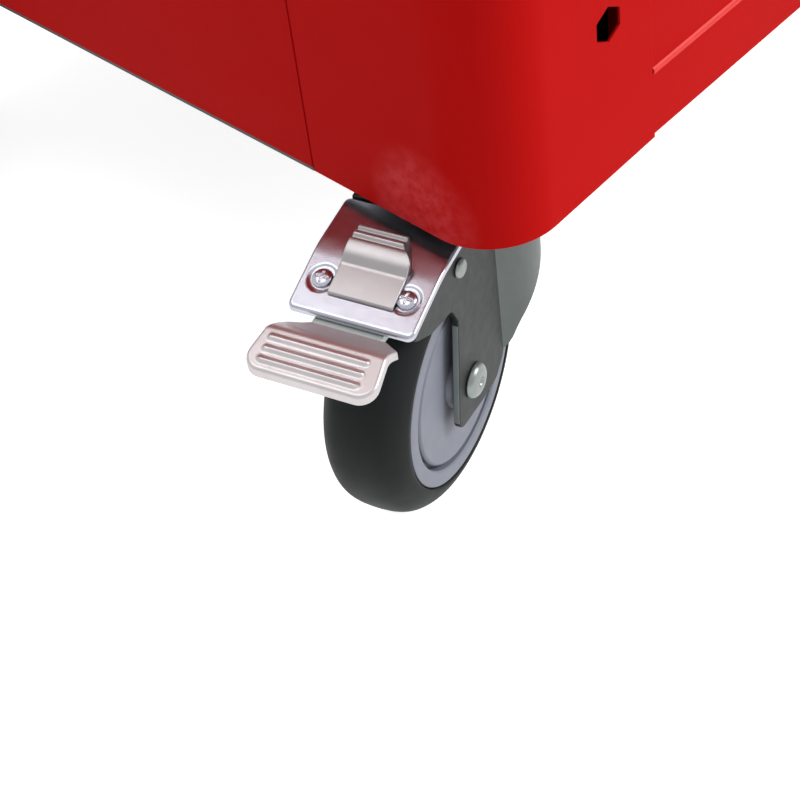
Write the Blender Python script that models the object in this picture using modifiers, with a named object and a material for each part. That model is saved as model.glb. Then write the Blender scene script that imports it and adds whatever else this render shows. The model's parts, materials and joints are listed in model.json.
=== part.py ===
"""Tool cart: a sheet steel roller cabinet with six drawers on four 125 mm casters.

The two casters under the push handle swivel and carry a pedal brake with a release lever.
The two at the other end are fixed. Metres, +Z up, drawers facing -Y, push handle at -X.
The origin is on the floor under the middle of the cart's own bounding box.
"""
from math import atan2, cos, pi, radians, sin, sqrt

import bmesh
import bpy
from mathutils import Matrix, Vector

# General
GAP = 0.0003                # clearance between neighbouring solids
OVERRUN = 0.004             # how far a cutter runs past the face that it opens
EMBED = 0.0005              # how far a welded piece reaches into the one that it joins
MERGE = 0.00001             # merge distance of every modifier and weld
CORNER_STEPS = 8            # straight steps in a quarter turn of a sheet corner
SMALL_STEPS = 4             # straight steps in a quarter turn of a small radius
ROUND_SIDES = 16            # sides of a small round piece
RIVET_SIDES = 12            # sides of a rivet, pin or kingpin

# Cabinet body
CABINET_WIDTH = 0.690
CABINET_DEPTH = 0.485
SKIRT_DROP = 0.0075         # side panels end this far below the face that the casters bolt to
SHEET = 0.0012
CORNER_RADIUS = 0.0303
COLUMN_FRONT = 0.0935       # width of a corner column on the drawer face
COLUMN_SIDE = 0.0981        # and on the side face
COLUMN_DROP = 0.00225       # columns end this much lower than the side panels
PLINTH_LIFT = 0.0018        # and the plinth this much higher
PLINTH_TOP = 0.0262         # top of the plinth above the skirt line
FASCIA_HEIGHT = 0.052       # closed panel between the plinth and the lowest drawer
RAIL_HEIGHT = 0.035         # top rail above the drawers
RETURN_DEPTH = 0.020        # folded return round the drawer opening
LAP = 0.012                 # hidden lap of a side panel behind a column
JOGGLE = 0.0008             # length of the step in that lap
SEAM = 0.0004               # open seam between column and side panel

# Hanging holes in the front columns
HEX_RADIUS = 0.0079
HEX_FROM_SIDE = 0.0671
HEX_FIRST = 0.0718          # first hole above the skirt line
HEX_PITCH = 0.096
HEX_COUNT = 7

# Base frame
BASE_SHEET = 0.002
BASE_SHOW = 0.002           # how far its side flanges show below the side panels
BASE_FLANGE = 0.004         # depth of its front and rear flanges below the base sheet

# Worktop
TOP_OVERHANG = 0.004
TOP_HEIGHT = 0.036
TOP_RIM = 0.022
TRAY_DEPTH = 0.022
TRAY_RADIUS = 0.018
BIN_WIDTH = 0.070           # small-parts bins along the right edge
BIN_COUNT = 4
BIN_WALL = 0.008
MAT_THICKNESS = 0.003
MAT_MARGIN = 0.001

# Push handle
HANDLE_REACH = 0.100        # outer side of the grip tube from the side face
HANDLE_TUBE = 0.014         # tube radius
HANDLE_BEND = 0.032         # bend radius of the tube's centre line
HANDLE_DROP = 0.065         # its centre line below the top of the sheet walls
HANDLE_INSET = 0.052        # its ends, from the front and rear faces
SOCKET_RADIUS = 0.024
SOCKET_DEPTH = 0.022
SOCKET_FLANGE = 0.005

# Drawers
DRAWER_HEIGHTS = (0.140, 0.140, 0.0845, 0.0845, 0.0845, 0.0845)
DRAWER_GAP = 0.003
DRAWER_SIDE_GAP = 0.0015
FRONT_RECESS = 0.004        # drawer faces and fascia behind the columns' front faces
FRONT_THICKNESS = 0.014
FRONT_SHEET = 0.0012
TRAY_SHEET = 0.001
TRAY_SIDE_SPACE = 0.013     # space for a runner at each side
TRAY_LENGTH = 0.380
TRAY_FLOOR = 0.004          # underside of the tray above the drawer's lower edge
TRAY_TOP = 0.014            # sides end this much below the drawer's upper edge

# Drawer grip
GRIP_REACH = 0.010          # its lip stands this far in front of the columns
GRIP_SHEET = 0.002
GRIP_LIP = 0.014
GRIP_WEB = 0.018
GRIP_ROUND = 0.002

# Runners
RUNNER_SHEET = 0.002
RUNNER_START = 0.032
RUNNER_END = 0.412
CHANNEL_DEPTH = 0.0115
CHANNEL_LIP = 0.003
TONGUE_HEIGHT = 0.014
TONGUE_RISE = 0.026         # centre of the tongue above the drawer's lower edge
TONGUE_REACH = 0.010
TONGUE_START = 0.036
TONGUE_PLAY = 0.0005

# Lock
LOCK_FROM_RIGHT = 0.125
LOCK_RADIUS = 0.009
LOCK_FLANGE = 0.0115
LOCK_FLANGE_DEPTH = 0.0022
LOCK_LENGTH = 0.026
KEY_SLOT = (0.0016, 0.0060, 0.0090)
BAR_WIDTH = 0.012
BAR_SHEET = 0.003
BAR_LIFT = 0.008            # travel of the locking bar
HOOK = (0.008, 0.003, 0.010)

# Wheels
WHEEL_RADIUS = 0.0625
WHEEL_WIDTH = 0.038
WHEEL_STEPS = 26
SHOULDER = 0.0095
HUB_RADIUS = 0.0484
HUB_GROOVE = 0.0405
HUB_GROOVE_WIDTH = 0.0015
HUB_GROOVE_DEPTH = 0.0035
HUB_DISH = 0.0013
BOSS_RADIUS = 0.0125
BOSS_GAP = 0.0005
AXLE_RADIUS = 0.006
AXLE_HEAD = 0.0083
AXLE_HEAD_DEPTH = 0.0038
BORE_GAP = 0.0004

# Casters
BALL_SPACE = 0.010          # from the fork's crown up to the plate, for the ball race
CASTER_PLATE = (0.084, 0.105, 0.003)
CASTER_PLATE_RADIUS = 0.008
PLATE_BOLT_INSET = 0.011
PLATE_BOLT_RADIUS = 0.0065
PLATE_BOLT_DEPTH = 0.005
SWIVEL_FROM_SIDE = 0.0480   # swivel axis from the side face
SWIVEL_FROM_FRONT = 0.0651  # and from the front or rear face
FIXED_FROM_SIDE = 0.0660
TRAIL = 0.0495
SWIVEL_TURN = 0.28          # the trail's heading, in radians
FORK_SHEET = 0.003
FORK_HALF = 0.0243          # outer face of a leg from the wheel's middle plane
HEAD_RADIUS = 0.031         # round rear skirt of the fork
CROWN_TOP_SHARE = 1.272     # top of the fork above the axle, as a share of the wheel radius
CROWN_SHEET = 0.004
CROWN_RADIUS = 0.037
CROWN_HALF = 0.0236
CROWN_FRONT = 0.003         # front edge of the crown ahead of the axle
RACE_RADIUS = 0.033
RACE_LIP = 0.030
RACE_BORE = 0.018
KINGPIN_RADIUS = 0.006
KINGPIN_HEAD = 0.011
KINGPIN_HEAD_DEPTH = 0.006
KINGPIN_TAPER = 0.0008

# Outline of the swivel fork seen from the side: shares of the wheel radius, from the axle
FORK_OUTLINE_SHARES = (
    (-0.712, 1.011), (-0.712, 1.083), (-0.074, 1.192), (-0.052, 1.280), (1.344, 1.280),
    (1.344, 0.544), (1.200, 0.480), (1.008, 0.352), (0.800, 0.192), (0.688, 0.101),
    (0.584, 0.008), (0.536, -0.080), (0.453, -0.200), (0.344, -0.291), (0.240, -0.320),
    (0.080, -0.302), (-0.080, -0.270), (-0.184, -0.250), (-0.237, -0.184), (-0.093, 0.659),
    (-0.152, 0.776), (-0.230, 0.827), (-0.507, 0.888), (-0.651, 0.968),
)
# Outline of a fixed fork's leg, the same way
FIXED_LEG_SHARES = (
    (-0.600, 1.456), (0.600, 1.456), (0.500, 1.100), (0.250, -0.080), (0.160, -0.220),
    (0.000, -0.270), (-0.160, -0.220), (-0.250, -0.080), (-0.500, 1.100),
)

# Brake bridge: the bright plate over the wheel
BRIDGE_SLOPE = radians(10.2)
BRIDGE_HALF = 0.0273
BRIDGE_SHEET = 0.002
BRIDGE_BACK = 0.0052        # rear edge ahead of the axle
BRIDGE_BACK_RISE = 0.0772   # top face there, above the axle
BRIDGE_LENGTH = 0.0403      # along the slope, to the front bend
BRIDGE_NOSE = 0.0032        # radius of the front bend
BRIDGE_LIP = 0.0022         # end of the lip below the bend's centre
BRIDGE_FLANGE = 0.0015      # depth of its side flanges below the sheet
RIVET_SIDE = 0.020
RIVET_AHEAD = 0.0321
RIVET_HEAD = 0.0042
RIVET_DOME = 0.0016
RIVET_SHANK = 0.002
RIVET_SHOULDER_SHARE = 0.85 # height of the dome half way out

# Brake pedal, with its pin across the fork
PIN_RADIUS = 0.0026
PIN_HEAD = 0.0050
PIN_HEAD_DEPTH = 0.0022
PIN_FACE_SHARE = 0.6        # flat face of its head
PIN_ROUND_SHARE = 0.2       # roundness of that face
PIN_AHEAD = 0.005           # ahead of the axle
PIN_RISE = 0.068            # above the axle
BARREL_RADIUS = 0.0042
NECK_HALF = 0.016
PEDAL_BACK_HALF = 0.0235
PEDAL_TIP_HALF = 0.0278
PEDAL_CORNER = 0.007
PEDAL_BACK = 0.0535         # ahead of the axle
PEDAL_TIP = 0.0882
RIB_PLACES = (0.0695, 0.0755, 0.0812)
RIB_RADIUS = 0.0022
RIB_HALF = 0.0200
RIB_SINK = 0.0014
PEDAL_TOP_SHARE = 1.195     # top of the ribbed tip above the axle, as a share of the wheel radius
# Side outline of the pedal: distance ahead of the axle and height above it, both as shares
# of the wheel radius
PEDAL_OUTLINE_SHARES = (
    (0.080, 1.125), (0.320, 1.093), (0.672, 1.022), (0.760, 1.015), (0.840, 1.085),
    (0.912, 1.163), (0.976, 1.198), (1.344, 1.192), (1.395, 1.176), (1.411, 1.144),
    (1.411, 1.104), (1.384, 1.093), (1.344, 1.128), (0.992, 1.134), (0.928, 1.096),
    (0.856, 1.024), (0.776, 0.966), (0.656, 0.971), (0.656, 0.914), (0.576, 0.946),
    (0.512, 0.970), (0.448, 0.984), (0.320, 1.045), (0.080, 1.050),
)

# Release lever: places along the bridge's slope from the lever's front edge, and heights over
# the bridge, as shares of the lever's length
LEVER_AHEAD = 0.0385        # front edge ahead of the axle
LEVER_HALF = 0.0142
LEVER_LENGTH = 0.031
LEVER_OUTLINE_SHARES = (
    (0.000, 0.010), (0.000, 0.065), (0.435, 0.068), (0.485, 0.100), (0.515, 0.155),
    (0.560, 0.180), (0.590, 0.161), (0.620, 0.196), (0.665, 0.196), (0.690, 0.165),
    (0.718, 0.165), (0.745, 0.200), (0.790, 0.200), (0.815, 0.168), (0.843, 0.168),
    (0.870, 0.200), (0.915, 0.196), (0.950, 0.160), (1.000, 0.095), (0.960, 0.070),
    (0.900, 0.110), (0.600, 0.110), (0.550, 0.060), (0.470, 0.010),
)

# Places that follow from the sizes above
LEFT_X = (HANDLE_REACH - CABINET_WIDTH - TOP_OVERHANG) / 2
FRONT_Y = (GRIP_REACH - CABINET_DEPTH - TOP_OVERHANG) / 2
CROWN_TOP = WHEEL_RADIUS * (1 + CROWN_TOP_SHARE)
CASTER_HEIGHT = CROWN_TOP + BALL_SPACE + CASTER_PLATE[2]
BASE_BOTTOM = CASTER_HEIGHT
SKIRT = BASE_BOTTOM - SKIRT_DROP
OPENING_BOTTOM = SKIRT + PLINTH_TOP
FASCIA_TOP = OPENING_BOTTOM + FASCIA_HEIGHT
OPENING_TOP = FASCIA_TOP + sum(DRAWER_HEIGHTS) + (len(DRAWER_HEIGHTS) + 1) * DRAWER_GAP + GAP
BODY_TOP = OPENING_TOP + RAIL_HEIGHT
HANDLE_HEIGHT = BODY_TOP - HANDLE_DROP
OPENING_LEFT = COLUMN_FRONT
OPENING_RIGHT = CABINET_WIDTH - COLUMN_FRONT
AXLE_X = -TRAIL
FACET_SHARE = 1 / cos(pi / WHEEL_STEPS)


def clear_scene():
    for item in list(bpy.data.objects):
        bpy.data.objects.remove(item, do_unlink=True)


clear_scene()
CART = bpy.data.collections.new("tool_cart")
CUTTERS = bpy.data.collections.new("tool_cart_cutters")
bpy.context.scene.collection.children.link(CART)
bpy.context.scene.collection.children.link(CUTTERS)


def paint(name, colour, roughness, metallic):
    material = bpy.data.materials.new(name)
    material.use_nodes = True
    shader = material.node_tree.nodes["Principled BSDF"]
    shader.inputs["Base Color"].default_value = (*colour, 1.0)
    shader.inputs["Roughness"].default_value = roughness
    shader.inputs["Metallic"].default_value = metallic
    return material


RED = paint("red_enamel", (0.56, 0.012, 0.010), 0.32, 0.0)
BLACK = paint("black_enamel", (0.012, 0.012, 0.013), 0.45, 0.0)
BLACK_PLASTIC = paint("black_plastic", (0.020, 0.020, 0.022), 0.55, 0.0)
RUBBER_MAT = paint("mat_rubber", (0.030, 0.030, 0.032), 0.85, 0.0)
ALUMINIUM = paint("aluminium", (0.72, 0.72, 0.73), 0.35, 1.0)
GALVANISED = paint("galvanised_steel", (0.50, 0.52, 0.52), 0.45, 1.0)
FORK_ZINC = paint("fork_zinc", (0.30, 0.32, 0.31), 0.42, 1.0)
BRIGHT_ZINC = paint("bright_zinc", (0.80, 0.78, 0.80), 0.22, 1.0)
TYRE_RUBBER = paint("tyre_rubber", (0.035, 0.042, 0.042), 0.62, 0.0)
HUB_PLASTIC = paint("hub_plastic", (0.27, 0.29, 0.34), 0.50, 0.0)


# Making pieces

def add_object(name, mesh, material=None, parent=None):
    """A piece of the cart where a material is given, and a cutter where none is."""
    item = bpy.data.objects.new(name, mesh)
    if material is None:
        CUTTERS.objects.link(item)
        item.hide_render = True
        item.display_type = "WIRE"
    else:
        CART.objects.link(item)
        mesh.materials.append(material)
    item.parent = parent
    return item


def add_empty(name, place, turn=0.0, parent=None):
    empty = bpy.data.objects.new(name, None)
    CART.objects.link(empty)
    empty.location = place
    empty.rotation_euler = (0, 0, turn)
    empty.parent = parent
    return empty


def mesh_from(name, bm):
    mesh = bpy.data.meshes.new(name)
    bmesh.ops.recalc_face_normals(bm, faces=bm.faces)
    bm.to_mesh(mesh)
    bm.free()
    return mesh


def boxes(name, spans, material=None, parent=None):
    """One mesh of boxes, each given by its lowest and highest corners."""
    bm = bmesh.new()
    for low, high in spans:
        low, high = Vector(low), Vector(high)
        frame = Matrix.LocRotScale((low + high) / 2, None, high - low)
        bmesh.ops.create_cube(bm, size=1, matrix=frame)
    return add_object(name, mesh_from(name, bm), material, parent)


def rods(name, spans, material=None, parent=None):
    """One mesh of round or many-sided bars: start, end, radius and number of sides."""
    bm = bmesh.new()
    for start, end, radius, sides in spans:
        start, end = Vector(start), Vector(end)
        along = end - start
        spin = along.to_track_quat("Z", "Y")
        frame = Matrix.LocRotScale((start + end) / 2, spin, None)
        bmesh.ops.create_cone(bm, cap_ends=True, segments=sides, radius1=radius, radius2=radius,
                              depth=along.length, matrix=frame)
    return add_object(name, mesh_from(name, bm), material, parent)


def flat(name, outlines, half, plane, material=None, parent=None):
    """Flat outlines, holes among them, thickened by half to each side of their plane.

    plane is the matrix that carries the outline's own X, Y and normal to their place.
    """
    curve = bpy.data.curves.new(name, "CURVE")
    curve.dimensions = "2D"
    curve.fill_mode = "BOTH"
    curve.extrude = half
    for points in outlines:
        spline = curve.splines.new("POLY")
        spline.points.add(len(points) - 1)
        for point, (x, y) in zip(spline.points, points):
            point.co = (x, y, 0, 1)
        spline.use_cyclic_u = True
    carrier = bpy.data.objects.new(name, curve)
    CUTTERS.objects.link(carrier)
    bpy.context.view_layer.update()
    evaluated = carrier.evaluated_get(bpy.context.evaluated_depsgraph_get())
    mesh = bpy.data.meshes.new_from_object(evaluated)
    bpy.data.objects.remove(carrier, do_unlink=True)
    bm = bmesh.new()
    bm.from_mesh(mesh)
    bpy.data.meshes.remove(mesh)
    bmesh.ops.remove_doubles(bm, verts=bm.verts, dist=MERGE)
    bm.transform(plane)
    return add_object(name, mesh_from(name, bm), material, parent)


SIDE_PLANE = Matrix(((1, 0, 0, 0), (0, 0, -1, 0), (0, 1, 0, 0), (0, 0, 0, 1)))
END_PLANE = Matrix(((0, 0, 1, 0), (1, 0, 0, 0), (0, 1, 0, 0), (0, 0, 0, 1)))


def level_plane(height):
    return Matrix.Translation((0, 0, height))


def wall(name, path, bottom, top, thickness, material=None, parent=None):
    """A sheet standing on a plan path that keeps the outside on its left, going up."""
    bm = bmesh.new()
    lower = [bm.verts.new((x, y, bottom)) for x, y in path]
    edges = [bm.edges.new(pair) for pair in zip(lower, lower[1:])]
    raised = bmesh.ops.extrude_edge_only(bm, edges=edges)
    moved = [v for v in raised["geom"] if isinstance(v, bmesh.types.BMVert)]
    bmesh.ops.translate(bm, vec=(0, 0, top - bottom), verts=moved)
    bm.normal_update()
    start = edges[0].link_faces[0]
    run = Vector(path[1]) - Vector(path[0])
    if start.normal.xy.dot(Vector((-run.y, run.x))) < 0:
        bmesh.ops.reverse_faces(bm, faces=bm.faces)
    mesh = bpy.data.meshes.new(name)
    bm.to_mesh(mesh)
    bm.free()
    item = add_object(name, mesh, material, parent)
    shell = item.modifiers.new("sheet", "SOLIDIFY")
    shell.thickness = thickness
    shell.offset = -1
    shell.use_even_offset = True
    return item


def turned(name, profile, steps, material=None, parent=None, closed=False):
    """A profile of (radius, height) turned about Z, running down its outer side."""
    points = list(profile)
    edges = [(i, i + 1) for i in range(len(points) - 1)]
    if closed:
        edges.append((len(points) - 1, 0))
    mesh = bpy.data.meshes.new(name)
    mesh.from_pydata([(r, 0, z) for r, z in points], edges, [])
    item = add_object(name, mesh, material, parent)
    screw = item.modifiers.new("turn", "SCREW")
    screw.axis = "Z"
    screw.steps = steps
    screw.render_steps = steps
    screw.use_merge_vertices = True
    screw.merge_threshold = MERGE
    screw.use_smooth_shade = True
    return item


def boolean(item, tool, operation):
    change = item.modifiers.new(operation.lower(), "BOOLEAN")
    change.operation = operation
    change.solver = "EXACT"
    change.object = tool


def arc(centre, radius, start, end, steps):
    """Points on a circle, from one angle to another, both ends included."""
    angles = [start + (end - start) * i / steps for i in range(steps + 1)]
    return [(centre[0] + radius * cos(a), centre[1] + radius * sin(a)) for a in angles]


def rounded(low, high, radius, steps=SMALL_STEPS):
    """A rectangle with round corners, anticlockwise."""
    (x0, y0), (x1, y1) = low, high
    return (arc((x1 - radius, y0 + radius), radius, -pi / 2, 0, steps)
            + arc((x1 - radius, y1 - radius), radius, 0, pi / 2, steps)
            + arc((x0 + radius, y1 - radius), radius, pi / 2, pi, steps)
            + arc((x0 + radius, y0 + radius), radius, pi, 3 * pi / 2, steps))


def move_origin(item, place):
    """Put a piece's origin at a point of its parent's frame and leave its shape there."""
    item.data.transform(Matrix.Translation(-Vector(place)))
    item.location = place


# Cabinet body

def front_wrap():
    """Both front columns, plinth, fascia and top rail: one sheet round the drawer opening."""
    left, right = CORNER_RADIUS, CABINET_WIDTH - CORNER_RADIUS
    path = ([(CABINET_WIDTH, COLUMN_SIDE)]
            + arc((right, CORNER_RADIUS), CORNER_RADIUS, 0, -pi / 2, CORNER_STEPS)
            + arc((left, CORNER_RADIUS), CORNER_RADIUS, -pi / 2, -pi, CORNER_STEPS)
            + [(0, COLUMN_SIDE)])
    frame = wall("front_frame", path, SKIRT - COLUMN_DROP, BODY_TOP, SHEET, RED, CABINET)
    returns = boxes("opening_returns", [
        ((OPENING_LEFT - SHEET, EMBED, OPENING_BOTTOM - SHEET),
         (OPENING_RIGHT + SHEET, RETURN_DEPTH, OPENING_TOP + SHEET)),
    ], parent=CABINET)
    boolean(frame, returns, "UNION")
    past = RETURN_DEPTH + OVERRUN
    opening = boxes("front_opening", [
        ((OPENING_LEFT, -OVERRUN, OPENING_BOTTOM), (OPENING_RIGHT, FRONT_RECESS, OPENING_TOP)),
        ((OPENING_LEFT, FRONT_RECESS + SHEET, OPENING_BOTTOM), (OPENING_RIGHT, past, FASCIA_TOP - SHEET)),
        ((OPENING_LEFT, -OVERRUN, SKIRT - COLUMN_DROP - OVERRUN),
         (OPENING_RIGHT, OVERRUN, SKIRT + PLINTH_LIFT)),
    ], parent=CABINET)
    boolean(frame, opening, "DIFFERENCE")
    drawer_space = boxes("drawer_space", [
        ((OPENING_LEFT, -OVERRUN, FASCIA_TOP), (OPENING_RIGHT, past, OPENING_TOP)),
    ], parent=CABINET)
    boolean(frame, drawer_space, "DIFFERENCE")
    holes = []
    for side in (HEX_FROM_SIDE, CABINET_WIDTH - HEX_FROM_SIDE):
        for row in range(HEX_COUNT):
            height = SKIRT + HEX_FIRST + row * HEX_PITCH
            holes.append(((side, -OVERRUN, height), (side, OVERRUN, height), HEX_RADIUS, 6))
    lock_x, lock_z = lock_place()
    holes.append(((lock_x, -OVERRUN, lock_z), (lock_x, OVERRUN, lock_z), LOCK_RADIUS + GAP, ROUND_SIDES))
    boolean(frame, rods("front_holes", holes, parent=CABINET), "DIFFERENCE")


def rear_wrap():
    """The back wall with both rear columns."""
    left, right = CORNER_RADIUS, CABINET_WIDTH - CORNER_RADIUS
    back = CABINET_DEPTH - CORNER_RADIUS
    path = ([(0, CABINET_DEPTH - COLUMN_SIDE)]
            + arc((left, back), CORNER_RADIUS, pi, pi / 2, CORNER_STEPS)
            + arc((right, back), CORNER_RADIUS, pi / 2, 0, CORNER_STEPS)
            + [(CABINET_WIDTH, CABINET_DEPTH - COLUMN_SIDE)])
    wall("rear_shell", path, SKIRT - COLUMN_DROP, BODY_TOP, SHEET, RED, CABINET)


def side_panel(name, mirrored):
    """A side panel whose front and rear edges step in and lap behind the columns."""
    behind = SHEET + GAP
    near = COLUMN_SIDE + SEAM
    far = CABINET_DEPTH - near
    path = [(behind, near - LAP), (behind, near), (0, near + JOGGLE), (0, far - JOGGLE),
            (behind, far), (behind, far + LAP)]
    if mirrored:
        path = [(CABINET_WIDTH - x, y) for x, y in path[::-1]]
    wall(name, path, SKIRT, BODY_TOP - GAP, SHEET, RED, CABINET)


def base_frame():
    """The black floor of the cabinet, with flanges folded down all round."""
    margin = 2 * (SHEET + GAP)
    low = (margin, RETURN_DEPTH + GAP)
    high = (CABINET_WIDTH - margin, CABINET_DEPTH - SHEET - 2 * GAP)
    inner = CORNER_RADIUS - SHEET
    sheet = flat("base_frame", [rounded(low, high, inner)], BASE_SHEET / 2,
                 level_plane(BASE_BOTTOM + BASE_SHEET / 2), BLACK, CABINET)
    flange_top = BASE_BOTTOM + EMBED
    side_bottom = SKIRT - BASE_SHOW
    end_bottom = BASE_BOTTOM - BASE_FLANGE
    near, far = COLUMN_SIDE + SEAM, CABINET_DEPTH - COLUMN_SIDE - SEAM
    left, right = low[0] + EMBED / 2, high[0] - EMBED / 2
    clear = CASTER_PLATE[0] / 2 + BASE_SHEET
    flange_left = SWIVEL_FROM_SIDE + clear
    flange_right = CABINET_WIDTH - FIXED_FROM_SIDE - clear
    flanges = boxes("base_flanges", [
        ((left, near, side_bottom), (left + BASE_SHEET, far, flange_top)),
        ((right - BASE_SHEET, near, side_bottom), (right, far, flange_top)),
        ((flange_left, low[1] + EMBED, end_bottom),
         (flange_right, low[1] + EMBED + BASE_SHEET, flange_top)),
        ((flange_left, high[1] - EMBED - BASE_SHEET, end_bottom),
         (flange_right, high[1] - EMBED, flange_top)),
    ], parent=CABINET)
    boolean(sheet, flanges, "UNION")
    hems = boxes("base_hems", [
        ((GAP, near + EMBED, side_bottom), (left + EMBED, far - EMBED, SKIRT - GAP)),
        ((right - EMBED, near + EMBED, side_bottom), (CABINET_WIDTH - GAP, far - EMBED, SKIRT - GAP)),
    ], parent=CABINET)
    boolean(sheet, hems, "UNION")


def top_panel():
    low = (GAP, GAP)
    high = (CABINET_WIDTH - GAP, CABINET_DEPTH - GAP)
    flat("top_panel", [rounded(low, high, CORNER_RADIUS, CORNER_STEPS)], SHEET / 2,
         level_plane(BODY_TOP + GAP + SHEET / 2), RED, CABINET)


def worktop():
    """The moulded top with its main tray and a row of bins, and the mat in the tray."""
    bottom = BODY_TOP + SHEET + 2 * GAP
    top = bottom + TOP_HEIGHT
    low = (-TOP_OVERHANG, -TOP_OVERHANG)
    high = (CABINET_WIDTH + TOP_OVERHANG, CABINET_DEPTH + TOP_OVERHANG)
    outline = rounded(low, high, CORNER_RADIUS + TOP_OVERHANG, CORNER_STEPS)
    slab = flat("worktop", [outline], TOP_HEIGHT / 2, level_plane((bottom + top) / 2), BLACK_PLASTIC, CABINET)
    floor = top - TRAY_DEPTH
    bins_left = CABINET_WIDTH - TOP_RIM - BIN_WIDTH
    near, far = TOP_RIM, CABINET_DEPTH - TOP_RIM
    tray_low, tray_high = (TOP_RIM, near), (bins_left - BIN_WALL, far)
    pockets = [rounded(tray_low, tray_high, TRAY_RADIUS)]
    pitch = (far - near + BIN_WALL) / BIN_COUNT
    for row in range(BIN_COUNT):
        start = near + row * pitch
        pockets.append(rounded((bins_left, start), (bins_left + BIN_WIDTH, start + pitch - BIN_WALL),
                               TRAY_RADIUS / 2))
    half = (TRAY_DEPTH + OVERRUN) / 2
    cutter = flat("worktop_pockets", pockets, half, level_plane(floor + half), parent=CABINET)
    boolean(slab, cutter, "DIFFERENCE")
    inset = MAT_MARGIN
    mat_low = (tray_low[0] + inset, tray_low[1] + inset)
    mat_high = (tray_high[0] - inset, tray_high[1] - inset)
    flat("worktop_mat", [rounded(mat_low, mat_high, TRAY_RADIUS - inset)], MAT_THICKNESS / 2,
         level_plane(floor + GAP + MAT_THICKNESS / 2), RUBBER_MAT, CABINET)


def push_handle():
    """A bent tube along the left side, held in two flanged sockets."""
    reach = HANDLE_REACH - HANDLE_TUBE
    ends = (HANDLE_INSET, CABINET_DEPTH - HANDLE_INSET)
    start_x = -(SOCKET_FLANGE + GAP)
    near = arc((HANDLE_BEND - reach, ends[0] + HANDLE_BEND), HANDLE_BEND, -pi / 2, -pi, CORNER_STEPS)
    far = arc((HANDLE_BEND - reach, ends[1] - HANDLE_BEND), HANDLE_BEND, pi, pi / 2, CORNER_STEPS)
    route = [(start_x, ends[0])] + near + far + [(start_x, ends[1])]
    curve = bpy.data.curves.new("push_handle", "CURVE")
    curve.dimensions = "3D"
    curve.bevel_depth = HANDLE_TUBE
    curve.bevel_resolution = SMALL_STEPS
    curve.use_fill_caps = True
    spline = curve.splines.new("POLY")
    spline.points.add(len(route) - 1)
    for point, (x, y) in zip(spline.points, route):
        point.co = (x, y, HANDLE_HEIGHT, 1)
    tube = bpy.data.objects.new("push_handle", curve)
    CART.objects.link(tube)
    curve.materials.append(BLACK)
    tube.parent = CABINET
    for name, y in zip(("handle_socket_front", "handle_socket_rear"), ends):
        bore = HANDLE_TUBE + GAP
        sleeve = (SOCKET_RADIUS + bore) / 2
        profile = [(0, SOCKET_FLANGE), (bore, SOCKET_FLANGE), (bore, SOCKET_DEPTH), (sleeve, SOCKET_DEPTH),
                   (sleeve, SOCKET_FLANGE), (SOCKET_RADIUS, SOCKET_FLANGE), (SOCKET_RADIUS, GAP), (0, GAP)]
        socket = turned(name, profile, ROUND_SIDES + CORNER_STEPS, BLACK_PLASTIC, CABINET)
        socket.location = (0, y, HANDLE_HEIGHT)
        socket.rotation_euler = (0, -pi / 2, 0)


def lock_place():
    return CABINET_WIDTH - LOCK_FROM_RIGHT, BODY_TOP - RAIL_HEIGHT / 2


def lock():
    """The lock cylinder in the top rail, and the bar behind the drawers that it lifts."""
    x, z = lock_place()
    rim = LOCK_FLANGE_DEPTH
    profile = [(0, rim), (LOCK_FLANGE - rim / 2, rim), (LOCK_FLANGE, rim / 2), (LOCK_FLANGE, GAP),
               (LOCK_RADIUS, GAP), (LOCK_RADIUS, -LOCK_LENGTH), (0, -LOCK_LENGTH)]
    cylinder = turned("lock_cylinder", profile, ROUND_SIDES, BRIGHT_ZINC, CABINET)
    cylinder.location = (x, 0, z)
    cylinder.rotation_euler = (pi / 2, 0, 0)
    width, height, depth = KEY_SLOT
    slot = boxes("key_slot", [((-width / 2, -rim - OVERRUN, -height / 2), (width / 2, depth, height / 2))],
                 parent=CABINET)
    slot.location = (x, 0, z)
    boolean(cylinder, slot, "DIFFERENCE")
    bar_y = RUNNER_END + GAP
    bar_x = OPENING_RIGHT - CHANNEL_DEPTH + EMBED
    bottom = BASE_BOTTOM + BASE_SHEET + BAR_LIFT
    bar = boxes("lock_bar", [((bar_x, bar_y, bottom),
                              (bar_x + BAR_WIDTH, bar_y + BAR_SHEET, BODY_TOP - BAR_LIFT - OVERRUN))],
                GALVANISED, CABINET)
    hook_w, hook_d, hook_h = HOOK
    spans = []
    for low, high in drawer_spans():
        bottom, top = (low + high - hook_h) / 2, (low + high + hook_h) / 2
        spans.append(((bar_x - hook_w, bar_y + EMBED, bottom),
                      (bar_x + EMBED, bar_y + BAR_SHEET - EMBED, top)))
    boolean(bar, boxes("lock_hooks", spans, parent=CABINET), "UNION")
    spans = []
    for low, high in drawer_spans():
        bottom, top = (low + high - hook_h) / 2, (low + high + hook_h) / 2
        spans.append(((bar_x - hook_w + EMBED, bar_y - hook_d, bottom + EMBED),
                      (bar_x - EMBED - GAP, bar_y + 2 * EMBED, top - EMBED)))
    boolean(bar, boxes("lock_hook_tips", spans, parent=CABINET), "UNION")


# Drawers

def drawer_spans():
    """Lower and upper edge of each drawer, from the bottom up."""
    spans = []
    low = FASCIA_TOP + DRAWER_GAP
    for height in DRAWER_HEIGHTS:
        spans.append((low, low + height))
        low += height + DRAWER_GAP
    return spans


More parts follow.
